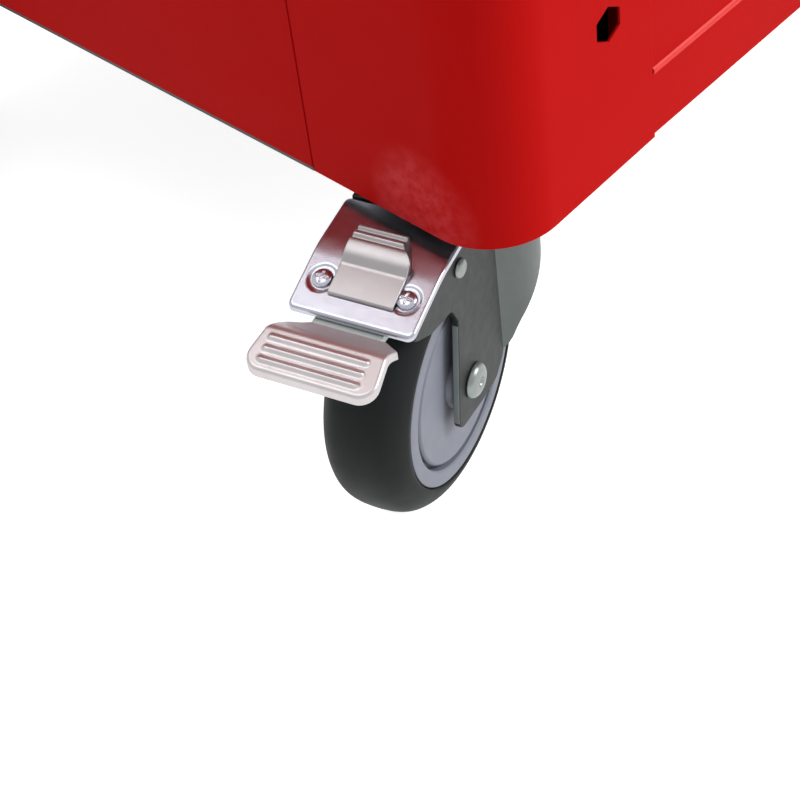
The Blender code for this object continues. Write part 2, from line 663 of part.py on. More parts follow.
def drawer(number, low, high):
    """One drawer: a folded front, a tray behind it with a tongue at each side, and a grip."""
    left, right = OPENING_LEFT + DRAWER_SIDE_GAP, OPENING_RIGHT - DRAWER_SIDE_GAP
    face, back = FRONT_RECESS, FRONT_RECESS + FRONT_THICKNESS
    front_top = high - GRIP_SHEET - GAP
    tray_left, tray_right = OPENING_LEFT + TRAY_SIDE_SPACE, OPENING_RIGHT - TRAY_SIDE_SPACE
    tray_back = back + TRAY_LENGTH
    tray_low, tray_high = low + TRAY_FLOOR, high - TRAY_TOP
    name = "drawer_%d" % number
    box = boxes(name, [((left, face, low), (right, back, front_top))], RED, CABINET)
    tongue_low = low + TONGUE_RISE - TONGUE_HEIGHT / 2
    tongue_high = tongue_low + TONGUE_HEIGHT
    tray = boxes(name + "_tray", [((tray_left, back - EMBED, tray_low), (tray_right, tray_back, tray_high))],
                 parent=CABINET)
    tongues = boxes(name + "_tongues", [
        ((tray_left - TONGUE_REACH, TONGUE_START, tongue_low),
         (tray_left + EMBED, tray_back - EMBED, tongue_high)),
        ((tray_right - EMBED, TONGUE_START, tongue_low),
         (tray_right + TONGUE_REACH, tray_back - EMBED, tongue_high)),
    ], parent=CABINET)
    hollows = boxes(name + "_hollows", [
        ((left + FRONT_SHEET, face + FRONT_SHEET, low + FRONT_SHEET),
         (right - FRONT_SHEET, back - FRONT_SHEET, front_top + OVERRUN)),
        ((tray_left + TRAY_SHEET, back + TRAY_SHEET, tray_low + TRAY_SHEET),
         (tray_right - TRAY_SHEET, tray_back - TRAY_SHEET, tray_high + OVERRUN)),
    ], parent=CABINET)
    boolean(box, tray, "UNION")
    boolean(box, tongues, "UNION")
    boolean(box, hollows, "DIFFERENCE")
    web_back = face - GAP
    web_front = web_back - GRIP_SHEET
    lip = -GRIP_REACH
    under = high - GRIP_SHEET
    outline = [(back, high)] + arc((lip + GRIP_ROUND, high - GRIP_ROUND), GRIP_ROUND, pi / 2, pi, SMALL_STEPS)
    outline += [(lip, high - GRIP_LIP), (lip + GRIP_SHEET, high - GRIP_LIP),
                (lip + GRIP_SHEET, under - GRIP_ROUND), (lip + GRIP_SHEET + GRIP_ROUND, under),
                (web_front, under), (web_front, high - GRIP_WEB), (web_back, high - GRIP_WEB),
                (web_back, under), (back, under)]
    middle = Matrix.Translation(((left + right) / 2, 0, 0)) @ END_PLANE
    flat(name + "_grip", [outline], (right - left) / 2, middle, ALUMINIUM, CABINET)


def runner(name, mirrored):
    """A ladder plate with one open channel for each drawer's tongue."""
    plate_out = OPENING_LEFT - RUNNER_SHEET - GAP
    plate_in = OPENING_LEFT - GAP
    tip = OPENING_LEFT + CHANNEL_DEPTH
    tongue_tip = OPENING_LEFT + TRAY_SIDE_SPACE - TONGUE_REACH
    plate = [((plate_out, RUNNER_START, BASE_BOTTOM + BASE_SHEET + GAP),
              (plate_in, RUNNER_END, BODY_TOP - GAP))]
    channels, grooves = [], []
    for low, high in drawer_spans():
        bottom = low + TONGUE_RISE - TONGUE_HEIGHT / 2 - TONGUE_PLAY
        top = low + TONGUE_RISE + TONGUE_HEIGHT / 2 + TONGUE_PLAY
        channels.append(((plate_in - EMBED, RUNNER_START + EMBED, bottom - CHANNEL_LIP),
                         (tip, RUNNER_END - EMBED, top + CHANNEL_LIP)))
        grooves.append(((tongue_tip - TONGUE_PLAY, RUNNER_START - OVERRUN, bottom),
                        (tip + OVERRUN, RUNNER_END + OVERRUN, top)))
    if mirrored:
        plate, channels, grooves = (mirror_boxes(group) for group in (plate, channels, grooves))
    ladder = boxes(name, plate, GALVANISED, CABINET)
    boolean(ladder, boxes(name + "_channels", channels, parent=CABINET), "UNION")
    boolean(ladder, boxes(name + "_grooves", grooves, parent=CABINET), "DIFFERENCE")


def mirror_boxes(spans):
    return [((CABINET_WIDTH - high[0], low[1], low[2]), (CABINET_WIDTH - low[0], high[1], high[2]))
            for low, high in spans]


# Wheels and casters: their own frame has +X towards the swivel axis from the pedal

def wheel(name, parent, place):
    """A tyre on a moulded core, turned about the axle, with flats at its lowest point."""
    half = WHEEL_WIDTH / 2
    rim = WHEEL_RADIUS * FACET_SHARE
    upper = arc((rim - SHOULDER, half - SHOULDER), SHOULDER, pi / 2, 0, SMALL_STEPS)
    lower = [(r, -z) for r, z in upper[::-1]]
    tyre = turned(name + "_tyre", [(HUB_RADIUS, half)] + upper + lower + [(HUB_RADIUS, -half)],
                  WHEEL_STEPS, TYRE_RUBBER, parent, closed=True)
    bore = AXLE_RADIUS + BORE_GAP
    boss = FORK_HALF - FORK_SHEET - BOSS_GAP
    dish = half - HUB_DISH
    groove = half - HUB_GROOVE_DEPTH
    outer = HUB_RADIUS - GAP
    disc = HUB_GROOVE - HUB_GROOVE_WIDTH
    upper = [(bore, boss), (BOSS_RADIUS - EMBED, boss), (BOSS_RADIUS, dish), (disc, dish),
             (disc, groove), (HUB_GROOVE, groove), (HUB_GROOVE, half), (outer, half)]
    lower = [(r, -z) for r, z in upper[::-1]]
    core = turned(name + "_core", upper + lower, WHEEL_STEPS, HUB_PLASTIC, parent, closed=True)
    for item in (tyre, core):
        item.location = place
        item.rotation_euler = (pi / 2, 0, 0)


def axle_bolt(name, parent, place):
    """A hexagon-headed bolt through the fork, with its nut."""
    x, y, z = place
    face = FORK_HALF + GAP
    bolt = rods(name, [((x, -face - EMBED, z), (x, face + EMBED, z), AXLE_RADIUS, ROUND_SIDES)],
                FORK_ZINC, parent)
    ends = rods(name + "_ends", [
        ((x, -face - AXLE_HEAD_DEPTH, z), (x, -face, z), AXLE_HEAD, 6),
        ((x, face, z), (x, face + AXLE_HEAD_DEPTH, z), AXLE_HEAD, 6),
    ], parent=parent)
    boolean(bolt, ends, "UNION")


def plate_outline(width, depth):
    return rounded((-width / 2, -depth / 2), (width / 2, depth / 2), CASTER_PLATE_RADIUS)


def plate_bolts(name, parent):
    """Heads of the four bolts that hold a caster's plate, under its corners."""
    width, depth, thickness = CASTER_PLATE
    under = CASTER_HEIGHT - thickness
    spans = []
    for x in (-width / 2 + PLATE_BOLT_INSET, width / 2 - PLATE_BOLT_INSET):
        for y in (-depth / 2 + PLATE_BOLT_INSET, depth / 2 - PLATE_BOLT_INSET):
            spans.append(((x, y, under - PLATE_BOLT_DEPTH), (x, y, under + EMBED), PLATE_BOLT_RADIUS, 6))
    return rods(name, spans, parent=parent)


def swivel_mount(name, mount):
    """The plate that bolts to the cabinet, with its fixed ball race, and the kingpin."""
    width, depth, thickness = CASTER_PLATE
    under = CASTER_HEIGHT - thickness
    plate = flat(name + "_mount_plate", [plate_outline(width, depth)], thickness / 2,
                 level_plane(CASTER_HEIGHT - thickness / 2 - GAP / 2), GALVANISED, mount)
    race = turned(name + "_race", [(RACE_BORE, under + EMBED), (RACE_RADIUS, under + EMBED),
                                   (RACE_LIP, CROWN_TOP + GAP), (RACE_BORE, CROWN_TOP + GAP)],
                  WHEEL_STEPS, None, mount, closed=True)
    boolean(plate, race, "UNION")
    boolean(plate, plate_bolts(name + "_bolts", mount), "UNION")
    bore = rods(name + "_plate_bore", [((0, 0, under - OVERRUN), (0, 0, CASTER_HEIGHT + OVERRUN),
                                        KINGPIN_RADIUS + BORE_GAP, ROUND_SIDES)], parent=mount)
    boolean(plate, bore, "DIFFERENCE")
    crown_under = CROWN_TOP - CROWN_SHEET - GAP
    profile = [(0, CASTER_HEIGHT - GAP), (KINGPIN_RADIUS, CASTER_HEIGHT - GAP), (KINGPIN_RADIUS, crown_under),
               (KINGPIN_HEAD, crown_under), (KINGPIN_HEAD - KINGPIN_TAPER, crown_under - KINGPIN_HEAD_DEPTH),
               (0, crown_under - KINGPIN_HEAD_DEPTH)]
    turned(name + "_kingpin", profile, RIVET_SIDES, FORK_ZINC, mount)


def shares_to_points(shares, ahead=False):
    """Outline points round the axle, from shares of the wheel radius."""
    way = -1 if ahead else 1
    return [(AXLE_X + way * u * WHEEL_RADIUS, WHEEL_RADIUS + v * WHEEL_RADIUS) for u, v in shares]


def swivel_fork(name, swivel):
    """Pressed fork: legs joined by a round rear skirt, cut to the side outline, and a crown."""
    crease = -sqrt(HEAD_RADIUS ** 2 - FORK_HALF ** 2)
    turn = atan2(FORK_HALF, crease)
    front = AXLE_X - WHEEL_RADIUS
    path = ([(front, FORK_HALF)] + arc((0, 0), HEAD_RADIUS, turn, -turn, 2 * CORNER_STEPS)
            + [(front, -FORK_HALF)])
    fork = wall(name + "_fork", path, WHEEL_RADIUS / 2, CROWN_TOP - EMBED, FORK_SHEET, FORK_ZINC, swivel)
    outline = flat(name + "_fork_outline", [shares_to_points(FORK_OUTLINE_SHARES)], 2 * FORK_HALF,
                   SIDE_PLANE, parent=swivel)
    boolean(fork, outline, "INTERSECT")
    join_x = -sqrt(CROWN_RADIUS ** 2 - CROWN_HALF ** 2)
    turn = atan2(CROWN_HALF, join_x)
    crown_front = AXLE_X - CROWN_FRONT
    plan = ([(crown_front, -CROWN_HALF)] + arc((0, 0), CROWN_RADIUS, -turn, turn, 2 * CORNER_STEPS)
            + [(crown_front, CROWN_HALF)])
    hole = arc((0, 0), KINGPIN_RADIUS + BORE_GAP, 0, 2 * pi, ROUND_SIDES)[:-1]
    crown = flat(name + "_crown", [plan, hole], CROWN_SHEET / 2, level_plane(CROWN_TOP - CROWN_SHEET / 2),
                 parent=swivel)
    boolean(fork, crown, "UNION")
    far = FORK_HALF + OVERRUN
    pin_x, pin_z = AXLE_X - PIN_AHEAD, WHEEL_RADIUS + PIN_RISE
    bores = rods(name + "_fork_bores", [
        ((AXLE_X, -far, WHEEL_RADIUS), (AXLE_X, far, WHEEL_RADIUS), AXLE_RADIUS + BORE_GAP, ROUND_SIDES),
        ((pin_x, -far, pin_z), (pin_x, far, pin_z), PIN_RADIUS + GAP, ROUND_SIDES),
    ], parent=swivel)
    boolean(fork, bores, "DIFFERENCE")


def bridge_point(ahead, over=0.0):
    """A point on the bridge's top face, in side view, that far ahead of the axle."""
    x = AXLE_X - ahead
    z = WHEEL_RADIUS + BRIDGE_BACK_RISE - (ahead - BRIDGE_BACK) * sin(BRIDGE_SLOPE) / cos(BRIDGE_SLOPE)
    return x - over * sin(BRIDGE_SLOPE), z + over * cos(BRIDGE_SLOPE)


def bridge_outline(inset):
    """Side outline of the bridge, or of the space under it when inset by its sheet."""
    nose_radius = BRIDGE_NOSE - inset
    end = BRIDGE_BACK + BRIDGE_LENGTH * cos(BRIDGE_SLOPE)
    centre = bridge_point(end, -BRIDGE_NOSE)
    nose = arc(centre, nose_radius, pi / 2 + BRIDGE_SLOPE, pi, SMALL_STEPS)
    lip_low = centre[1] - BRIDGE_LIP
    return bridge_point(BRIDGE_BACK, -inset), nose, centre, lip_low


def brake_bridge(name, swivel):
    """The bright plate that slopes down over the wheel, with a lip and side flanges."""
    back, nose, centre, lip_low = bridge_outline(0)
    under, inner_nose, _, _ = bridge_outline(BRIDGE_SHEET)
    low_back = bridge_point(BRIDGE_BACK, -BRIDGE_FLANGE - BRIDGE_SHEET)
    low_front = (centre[0], centre[1] - (BRIDGE_FLANGE + BRIDGE_SHEET - BRIDGE_NOSE))
    lip = [(nose[-1][0], lip_low), (inner_nose[-1][0], lip_low)]
    outer = [back] + nose + lip + [(inner_nose[-1][0], low_front[1]), low_back]
    plate = flat(name + "_brake_bridge", [outer], BRIDGE_HALF, SIDE_PLANE, BRIGHT_ZINC, swivel)
    shift = OVERRUN
    inner = [(under[0] + shift, under[1] + shift * sin(BRIDGE_SLOPE) / cos(BRIDGE_SLOPE))] + inner_nose
    inner += [(inner_nose[-1][0], lip_low - OVERRUN), (back[0] + shift, lip_low - OVERRUN)]
    space = flat(name + "_bridge_space", [inner], BRIDGE_HALF - BRIDGE_SHEET, SIDE_PLANE, parent=swivel)
    boolean(plate, space, "DIFFERENCE")
    tilt = (0, -BRIDGE_SLOPE, 0)
    spans = []
    top = bridge_point(RIVET_AHEAD, OVERRUN)
    bottom = bridge_point(RIVET_AHEAD, -OVERRUN)
    for side in (-RIVET_SIDE, RIVET_SIDE):
        spans.append(((bottom[0], side, bottom[1]), (top[0], side, top[1]), RIVET_SHANK + GAP, ROUND_SIDES))
    boolean(plate, rods(name + "_rivet_holes", spans, parent=swivel), "DIFFERENCE")
    profile = [(0, GAP + RIVET_DOME), (RIVET_HEAD / 2, GAP + RIVET_DOME * RIVET_SHOULDER_SHARE),
               (RIVET_HEAD, GAP + EMBED), (RIVET_HEAD, GAP), (RIVET_SHANK, GAP),
               (RIVET_SHANK, -BRIDGE_SHEET), (0, -BRIDGE_SHEET)]
    x, z = bridge_point(RIVET_AHEAD)
    for label, side in (("near", -RIVET_SIDE), ("far", RIVET_SIDE)):
        rivet = turned("%s_rivet_%s" % (name, label), profile, RIVET_SIDES, BRIGHT_ZINC, swivel)
        rivet.location = (x, side, z)
        rivet.rotation_euler = tilt


def brake_pedal(name, swivel):
    """The foot pedal: a thick ribbed tip, a neck under the bridge, a shoe and a barrel."""
    side = flat(name + "_brake_pedal", [shares_to_points(PEDAL_OUTLINE_SHARES, ahead=True)],
                PEDAL_TIP_HALF + OVERRUN, SIDE_PLANE, BRIGHT_ZINC, swivel)
    back, tip = AXLE_X - PEDAL_BACK, AXLE_X - PEDAL_TIP
    corner_y = PEDAL_TIP_HALF - PEDAL_CORNER
    half_plan = ([(AXLE_X + OVERRUN, NECK_HALF), (back + NECK_HALF / 2, NECK_HALF),
                  (back + EMBED, PEDAL_BACK_HALF)]
                 + arc((tip + PEDAL_CORNER, corner_y), PEDAL_CORNER, pi / 2, pi, SMALL_STEPS))
    plan = half_plan + [(x, -y) for x, y in half_plan[::-1]]
    height = WHEEL_RADIUS + PIN_RISE
    outline = flat(name + "_pedal_plan", [plan], WHEEL_RADIUS / 2, level_plane(height), parent=swivel)
    boolean(side, outline, "INTERSECT")
    pin_x = AXLE_X - PIN_AHEAD
    barrel_half = NECK_HALF - EMBED
    barrel = rods(name + "_pedal_barrel", [
        ((pin_x, -barrel_half, height), (pin_x, barrel_half, height), BARREL_RADIUS, ROUND_SIDES),
    ], parent=swivel)
    boolean(side, barrel, "UNION")
    top = WHEEL_RADIUS + PEDAL_TOP_SHARE * WHEEL_RADIUS
    ribs = [((AXLE_X - ahead, -RIB_HALF, top - RIB_SINK), (AXLE_X - ahead, RIB_HALF, top - RIB_SINK),
             RIB_RADIUS, ROUND_SIDES // 2) for ahead in RIB_PLACES]
    boolean(side, rods(name + "_pedal_ribs", ribs, parent=swivel), "UNION")
    bore = rods(name + "_pedal_bore", [((pin_x, -FORK_HALF, height), (pin_x, FORK_HALF, height),
                                        PIN_RADIUS + GAP, ROUND_SIDES)], parent=swivel)
    boolean(side, bore, "DIFFERENCE")
    move_origin(side, (pin_x, 0, height))
    face = FORK_HALF + GAP
    shaft = face + PIN_HEAD_DEPTH
    profile = [(0, shaft), (PIN_HEAD * PIN_FACE_SHARE, shaft - PIN_HEAD_DEPTH * PIN_ROUND_SHARE),
               (PIN_HEAD, face + EMBED), (PIN_HEAD, face), (PIN_RADIUS, face)]
    profile += [(r, -z) for r, z in profile[::-1]]
    pin = turned(name + "_brake_pin", profile, RIVET_SIDES, FORK_ZINC, swivel)
    pin.location = (pin_x, 0, height)
    pin.rotation_euler = (pi / 2, 0, 0)


def release_lever(name, swivel):
    """The small ridged tab on the bridge that frees the brake."""
    points = []
    for along, over in LEVER_OUTLINE_SHARES:
        ahead = LEVER_AHEAD - along * LEVER_LENGTH * cos(BRIDGE_SLOPE)
        points.append(bridge_point(ahead, over * LEVER_LENGTH))
    lever = flat(name + "_release_lever", [points], LEVER_HALF, SIDE_PLANE, BRIGHT_ZINC, swivel)
    hinge = bridge_point(LEVER_AHEAD, GAP)
    move_origin(lever, (hinge[0], 0, hinge[1]))


def swivel_caster(name, x, y):
    mount = add_empty(name + "_mount", (x, y, 0), parent=CABINET)
    swivel = add_empty(name + "_swivel", (x, y, 0), SWIVEL_TURN, CABINET)
    axle = (AXLE_X, 0, WHEEL_RADIUS)
    swivel_mount(name, mount)
    swivel_fork(name, swivel)
    brake_bridge(name, swivel)
    brake_pedal(name, swivel)
    release_lever(name, swivel)
    wheel(name, swivel, axle)
    axle_bolt(name + "_axle_bolt", swivel, axle)


def fixed_caster(name, x, y):
    """A caster whose plate and legs are one pressing, rolling along the cart's length."""
    mount = add_empty(name + "_mount", (x, y, 0), parent=CABINET)
    width, depth, thickness = CASTER_PLATE
    fork = flat(name + "_fork", [plate_outline(width, depth)], thickness / 2,
                level_plane(CASTER_HEIGHT - thickness / 2 - GAP / 2), FORK_ZINC, mount)
    leg = [(u * WHEEL_RADIUS, WHEEL_RADIUS + v * WHEEL_RADIUS) for u, v in FIXED_LEG_SHARES]
    hole = arc((0, WHEEL_RADIUS), AXLE_RADIUS + BORE_GAP, 0, 2 * pi, ROUND_SIDES)[:-1]
    for label, side in (("near", -1), ("far", 1)):
        middle = Matrix.Translation((0, side * (FORK_HALF - FORK_SHEET / 2), 0)) @ SIDE_PLANE
        plate = flat("%s_leg_%s" % (name, label), [leg, hole], FORK_SHEET / 2, middle, parent=mount)
        boolean(fork, plate, "UNION")
    boolean(fork, plate_bolts(name + "_bolts", mount), "UNION")
    axle = (0, 0, WHEEL_RADIUS)
    wheel(name, mount, axle)
    axle_bolt(name + "_axle_bolt", mount, axle)


CABINET = add_empty("cabinet_corner", (LEFT_X, FRONT_Y, 0))
front_wrap()
rear_wrap()
side_panel("side_panel_left", False)
side_panel("side_panel_right", True)
base_frame()
top_panel()
worktop()
push_handle()
lock()
for index, (edge_low, edge_high) in enumerate(drawer_spans()):
    drawer(index + 1, edge_low, edge_high)
runner("runner_left", False)
runner("runner_right", True)
swivel_caster("caster_front_left", SWIVEL_FROM_SIDE, SWIVEL_FROM_FRONT)
swivel_caster("caster_rear_left", SWIVEL_FROM_SIDE, CABINET_DEPTH - SWIVEL_FROM_FRONT)
fixed_caster("caster_front_right", CABINET_WIDTH - FIXED_FROM_SIDE, SWIVEL_FROM_FRONT)
fixed_caster("caster_rear_right", CABINET_WIDTH - FIXED_FROM_SIDE, CABINET_DEPTH - SWIVEL_FROM_FRONT)
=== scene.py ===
# Tool cart: the finish of each surface, and the shapes that sheet metal, zinc and rubber have up close.
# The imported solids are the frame. Each piece here is worked out in metres where its solid lies.
import json

import bmesh
import bpy
import numpy as np
from mathutils import Matrix, Vector


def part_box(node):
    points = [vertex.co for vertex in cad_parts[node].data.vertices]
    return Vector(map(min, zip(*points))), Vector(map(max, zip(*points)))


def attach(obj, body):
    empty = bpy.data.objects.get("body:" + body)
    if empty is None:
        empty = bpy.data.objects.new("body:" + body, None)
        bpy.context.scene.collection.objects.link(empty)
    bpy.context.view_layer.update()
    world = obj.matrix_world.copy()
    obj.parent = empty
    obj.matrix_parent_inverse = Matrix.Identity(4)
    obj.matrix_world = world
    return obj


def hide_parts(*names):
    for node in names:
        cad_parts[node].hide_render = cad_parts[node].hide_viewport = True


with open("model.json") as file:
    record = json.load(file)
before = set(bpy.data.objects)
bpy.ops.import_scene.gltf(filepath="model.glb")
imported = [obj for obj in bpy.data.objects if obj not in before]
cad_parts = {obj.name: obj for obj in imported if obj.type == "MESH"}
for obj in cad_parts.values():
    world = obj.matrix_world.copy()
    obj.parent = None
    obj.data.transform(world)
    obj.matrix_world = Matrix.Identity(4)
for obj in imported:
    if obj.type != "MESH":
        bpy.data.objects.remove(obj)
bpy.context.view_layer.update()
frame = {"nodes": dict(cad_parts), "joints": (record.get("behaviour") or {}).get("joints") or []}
print("frame loaded")


def nodeBox(name):
    low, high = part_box(name)
    return np.array(low), np.array(high)


def addObject(name, data):
    item = bpy.data.objects.new(name, data)
    bpy.context.scene.collection.objects.link(item)
    return item


frameLow, frameHigh = nodeBox("front_frame")
corner = np.array((frameLow[0], frameLow[1], 0.0))  # the cabinet's front left corner on the floor


# camera, first, because it is the photograph's

photoCamera = {
    "eye": (-0.41753, -0.39077, 0.68058),  # from the corner
    "aim": (-0.01728, 0.04807, 0.05829),
    "roll": -8.017,  # degrees
    "lens": 93.03,
}


def makeCamera():
    eye, aim = (Vector(photoCamera[point]) + Vector(corner) for point in ("eye", "aim"))
    camera = addObject("photoCamera", bpy.data.cameras.new("photoCamera"))
    camera.data.sensor_width = 36
    camera.data.lens = photoCamera["lens"]
    camera.data.clip_start = 0.05
    level = (aim - eye).to_track_quat("-Z", "Y").to_matrix().to_4x4()
    roll = Matrix.Rotation(np.radians(photoCamera["roll"]), 4, "Z")
    camera.matrix_world = Matrix.Translation(eye) @ level @ roll
    bpy.context.scene.camera = camera


makeCamera()


# shader maths: a socket that adds, multiplies and divides

class Signal:
    def __init__(self, finish, socket):
        self.finish, self.socket = finish, socket

    def maths(self, operation, *values):
        return self.finish.add("ShaderNodeMath", {"operation": operation}, dict(enumerate(values)))

    def __add__(self, other):
        return self.maths("ADD", self, other)

    def __mul__(self, other):
        return self.maths("MULTIPLY", self, other)

    def __truediv__(self, other):
        return self.maths("DIVIDE", self, other)

    __radd__, __rmul__ = __add__, __mul__


class Finish:
    def __init__(self, name, sockets):
        self.material = bpy.data.materials.new(name)
        self.material.use_nodes = True
        self.tree = self.material.node_tree
        self.shader = self.tree.nodes["Principled BSDF"]
        for socket, value in sockets.items():
            self.shader.inputs[socket].default_value = value

    def add(self, kind, settings, inputs, output=0):
        node = self.tree.nodes.new(kind)
        for key, value in settings.items():
            if key == "stops":
                self.setStops(node.color_ramp, value)
            else:
                setattr(node, key, value)
        for key, value in inputs.items():
            self.feed(node.inputs[key], value)
        return Signal(self, node.outputs[output])

    def feed(self, socket, value):
        if isinstance(value, Signal):
            self.tree.links.new(value.socket, socket)
        else:
            socket.default_value = value

    def setStops(self, ramp, stops):
        while len(ramp.elements) < len(stops):
            ramp.elements.new(1.0)
        for element, (place, grey) in zip(ramp.elements, stops):
            element.position = place
            element.color = (grey, grey, grey, 1)

    def coords(self, stretch=(1, 1, 1)):
        place = self.add("ShaderNodeTexCoord", {}, {}, "Object")
        return self.add("ShaderNodeMapping", {}, {"Vector": place, "Scale": stretch})

    def noise(self, scale, detail, stretch=(1, 1, 1)):
        return self.add("ShaderNodeTexNoise", {}, {"Vector": self.coords(stretch), "Scale": scale, "Detail": detail})

    def cells(self, scale, output="Distance"):
        return self.add("ShaderNodeTexVoronoi", {}, {"Vector": self.coords(), "Scale": scale}, output)

    def ramp(self, value, stops):
        return self.add("ShaderNodeValToRGB", {"stops": stops}, {"Fac": value})

    def blend(self, factor, first, second):
        first = first if isinstance(first, Signal) else (*first, 1)
        return self.add("ShaderNodeMix", {"data_type": "RGBA"}, {0: factor, 6: first, 7: (*second, 1)}, 2)

    def bump(self, height, depth, strength):
        normal = self.add("ShaderNodeBump", {}, {"Height": height, "Distance": depth, "Strength": strength}, "Normal")
        self.feed(self.shader.inputs["Normal"], normal)

    def colour(self, value):
        self.feed(self.shader.inputs["Base Color"], value)

    def roughness(self, value):
        self.feed(self.shader.inputs["Roughness"], value)


def makeRedEnamel():
    look = {"deep": (0.495, 0.0055, 0.0055), "full": (0.58, 0.0080, 0.0070), "peel": 520, "depth": 0.00006,
            "spotSide": 0.039, "spotHeight": 0.009, "flat": 0.8, "reach": 0.027, "polish": 0.22,
            "paintedShine": (0.66, 0.034, 0.036)}
    finish = Finish("redEnamel", {"Specular IOR Level": 0.012, "Coat Roughness": 0.22})
    # a spot low on the front left column, broken up by noise: more coat gloss there, and a pinkish base colour that is
    # a painted reflection of the bright caster plate
    flat = look["flat"]
    spot = (frameLow[0], frameLow[1] + look["spotSide"], flat * (frameLow[2] + look["spotHeight"]))
    far = finish.add("ShaderNodeVectorMath", {"operation": "DISTANCE"}, {0: finish.coords((1, 1, flat)), 1: spot},
                     "Value")
    near = finish.ramp(far / look["reach"], ((0.45, 1.0), (1.0, 0.0)))
    paintedShine = near * finish.ramp(finish.noise(260, 3), ((0.36, 0.40), (0.62, 1.0)))
    finish.feed(finish.shader.inputs["Coat Weight"], paintedShine * look["polish"])
    even = finish.blend(finish.noise(9, 3), look["deep"], look["full"])
    # painted reflection: inside the spot the base colour turns pinkish
    finish.colour(finish.blend(paintedShine, even, look["paintedShine"]))
    finish.roughness(0.30 + 0.10 * finish.noise(60, 4))
    finish.bump(finish.noise(look["peel"], 1.5) + 0.4 * finish.noise(1400, 1), look["depth"], 0.8)
    return finish


def makeBlackEnamel():
    finish = Finish("blackEnamel", {"Base Color": (0.012, 0.012, 0.013, 1)})
    finish.roughness(0.40 + 0.12 * finish.noise(80, 4))
    finish.bump(finish.noise(900, 1.5), 0.00005, 0.6)
    return finish


def makeBlackPlastic():
    finish = Finish("blackPlastic", {})
    finish.colour(finish.blend(finish.noise(40, 4), (0.015, 0.015, 0.016), (0.027, 0.027, 0.029)))
    finish.roughness(0.50 + 0.15 * finish.noise(160, 2))
    finish.bump(finish.cells(750), 0.00015, 0.7)
    return finish


def makeMatRubber():
    finish = Finish("matRubber", {"Base Color": (0.030, 0.030, 0.032, 1)})
    ribs = finish.add("ShaderNodeTexWave", {"bands_direction": "Y"}, {"Vector": finish.coords(), "Scale": 60.0})
    finish.roughness(0.75 + 0.15 * finish.noise(120, 3))
    finish.bump(ribs + 0.15 * finish.noise(900, 2), 0.0007, 0.9)
    return finish


def makeAluminium():
    finish = Finish("aluminium", {"Base Color": (0.72, 0.72, 0.73, 1), "Metallic": 1.0})
    lines = finish.noise(700, 2, stretch=(0.02, 1, 1))
    finish.roughness(0.28 + 0.16 * lines)
    finish.bump(lines, 0.00004, 0.5)
    return finish


def makeGalvanised():
    finish = Finish("galvanised", {"Metallic": 1.0})
    spangle = finish.cells(90, "Color")
    finish.colour(finish.blend(spangle, (0.40, 0.42, 0.42), (0.62, 0.64, 0.64)))
    finish.roughness(0.36 + 0.18 * finish.noise(70, 3))
    return finish


def makeFinish(name, sockets, tone, rough, grain=(), depth=0.0, strength=0.6):
    # tone: a noise's scale and detail and the colours it blends; rough: least, spread, and a noise's scale and
    # detail; grain: the weight, scale and detail of each noise that the bump adds up
    finish = Finish(name, sockets)
    finish.colour(finish.blend(finish.noise(*tone[:2]), *tone[2:]))
    least, spread, *noise = rough
    finish.roughness(least + spread * finish.noise(*noise))
    if grain:
        finish.bump(sum(weight * finish.noise(*noise) for weight, *noise in grain), depth, strength)
    return finish


platedGrain = ((1, 75, 2), (0.08, 1800, 2))


def makeSatinZinc(name, shade, light, polish, metallic=0.75):
    return makeFinish(name, {"Metallic": metallic}, (60, 4, shade, light), (polish, 0.14, 300, 4), platedGrain,
                      0.00012, 0.4)


redEnamel, blackEnamel, blackPlastic = makeRedEnamel(), makeBlackEnamel(), makeBlackPlastic()
matRubber, aluminium, galvanised = makeMatRubber(), makeAluminium(), makeGalvanised()
# a lighter, glossier copy of the red enamel for the plinth's rolled edge: a painted highlight
foldEnamelPaintedHighlight = makeFinish("foldEnamelPaintedHighlight", {"Specular IOR Level": 0.18},
                        (160, 3, (0.66, 0.010, 0.007), (0.88, 0.022, 0.014)), (0.26, 0.10, 60, 4))
forkZinc = makeFinish("forkZinc", {"Metallic": 1.0}, (28, 5, (0.029, 0.033, 0.031), (0.044, 0.050, 0.047)),
                      (0.40, 0.16, 220, 4), ((1, 1600, 2), (0.6, 300, 3)), 0.00003)
brightZinc = makeFinish("brightZinc", {"Metallic": 1.0}, (60, 4, (0.37, 0.375, 0.43), (0.49, 0.50, 0.555)),
                        (0.16, 0.14, 300, 4), platedGrain, 0.00018, 0.5)
tyreRubber = makeFinish("tyreRubber", {"Specular IOR Level": 0.12},
                        (35, 5, (0.0085, 0.0105, 0.0108), (0.0140, 0.0170, 0.0175)),
                        (0.46, 0.18, 90, 4), ((1, 1100, 3),), 0.00006)
hubPlastic = makeFinish("hubPlastic", {"Specular IOR Level": 0.4},
                        (50, 4, (0.190, 0.206, 0.250), (0.232, 0.250, 0.300)),
                        (0.42, 0.14, 140, 3), ((1, 1300, 2),), 0.00004)
padZinc = makeSatinZinc("padZinc", (0.46, 0.43, 0.44), (0.58, 0.555, 0.56), 0.29)
leverZinc = makeSatinZinc("leverZinc", (0.31, 0.29, 0.298), (0.41, 0.39, 0.398), 0.24)
boltZinc = makeSatinZinc("boltZinc", (0.20, 0.225, 0.22), (0.32, 0.35, 0.34), 0.26)
# the neck's zinc, lighter and greener than the pad's to offset the shade under the plate: painted light
armZincPaintedLight = makeSatinZinc("armZincPaintedLight", (0.48, 0.55, 0.53), (0.62, 0.70, 0.68), 0.40, 0.3)
# a lighter copy of the fork's zinc for the round skirt: painted light, standing in for the brighter reflection the
# skirt catches
skirtZincPaintedLight = makeSatinZinc("skirtZincPaintedLight", (0.085, 0.097, 0.092), (0.120, 0.135, 0.129), 0.34, 1.0)
print("finishes made")


# surfaces: arrays of points, and the quads between them

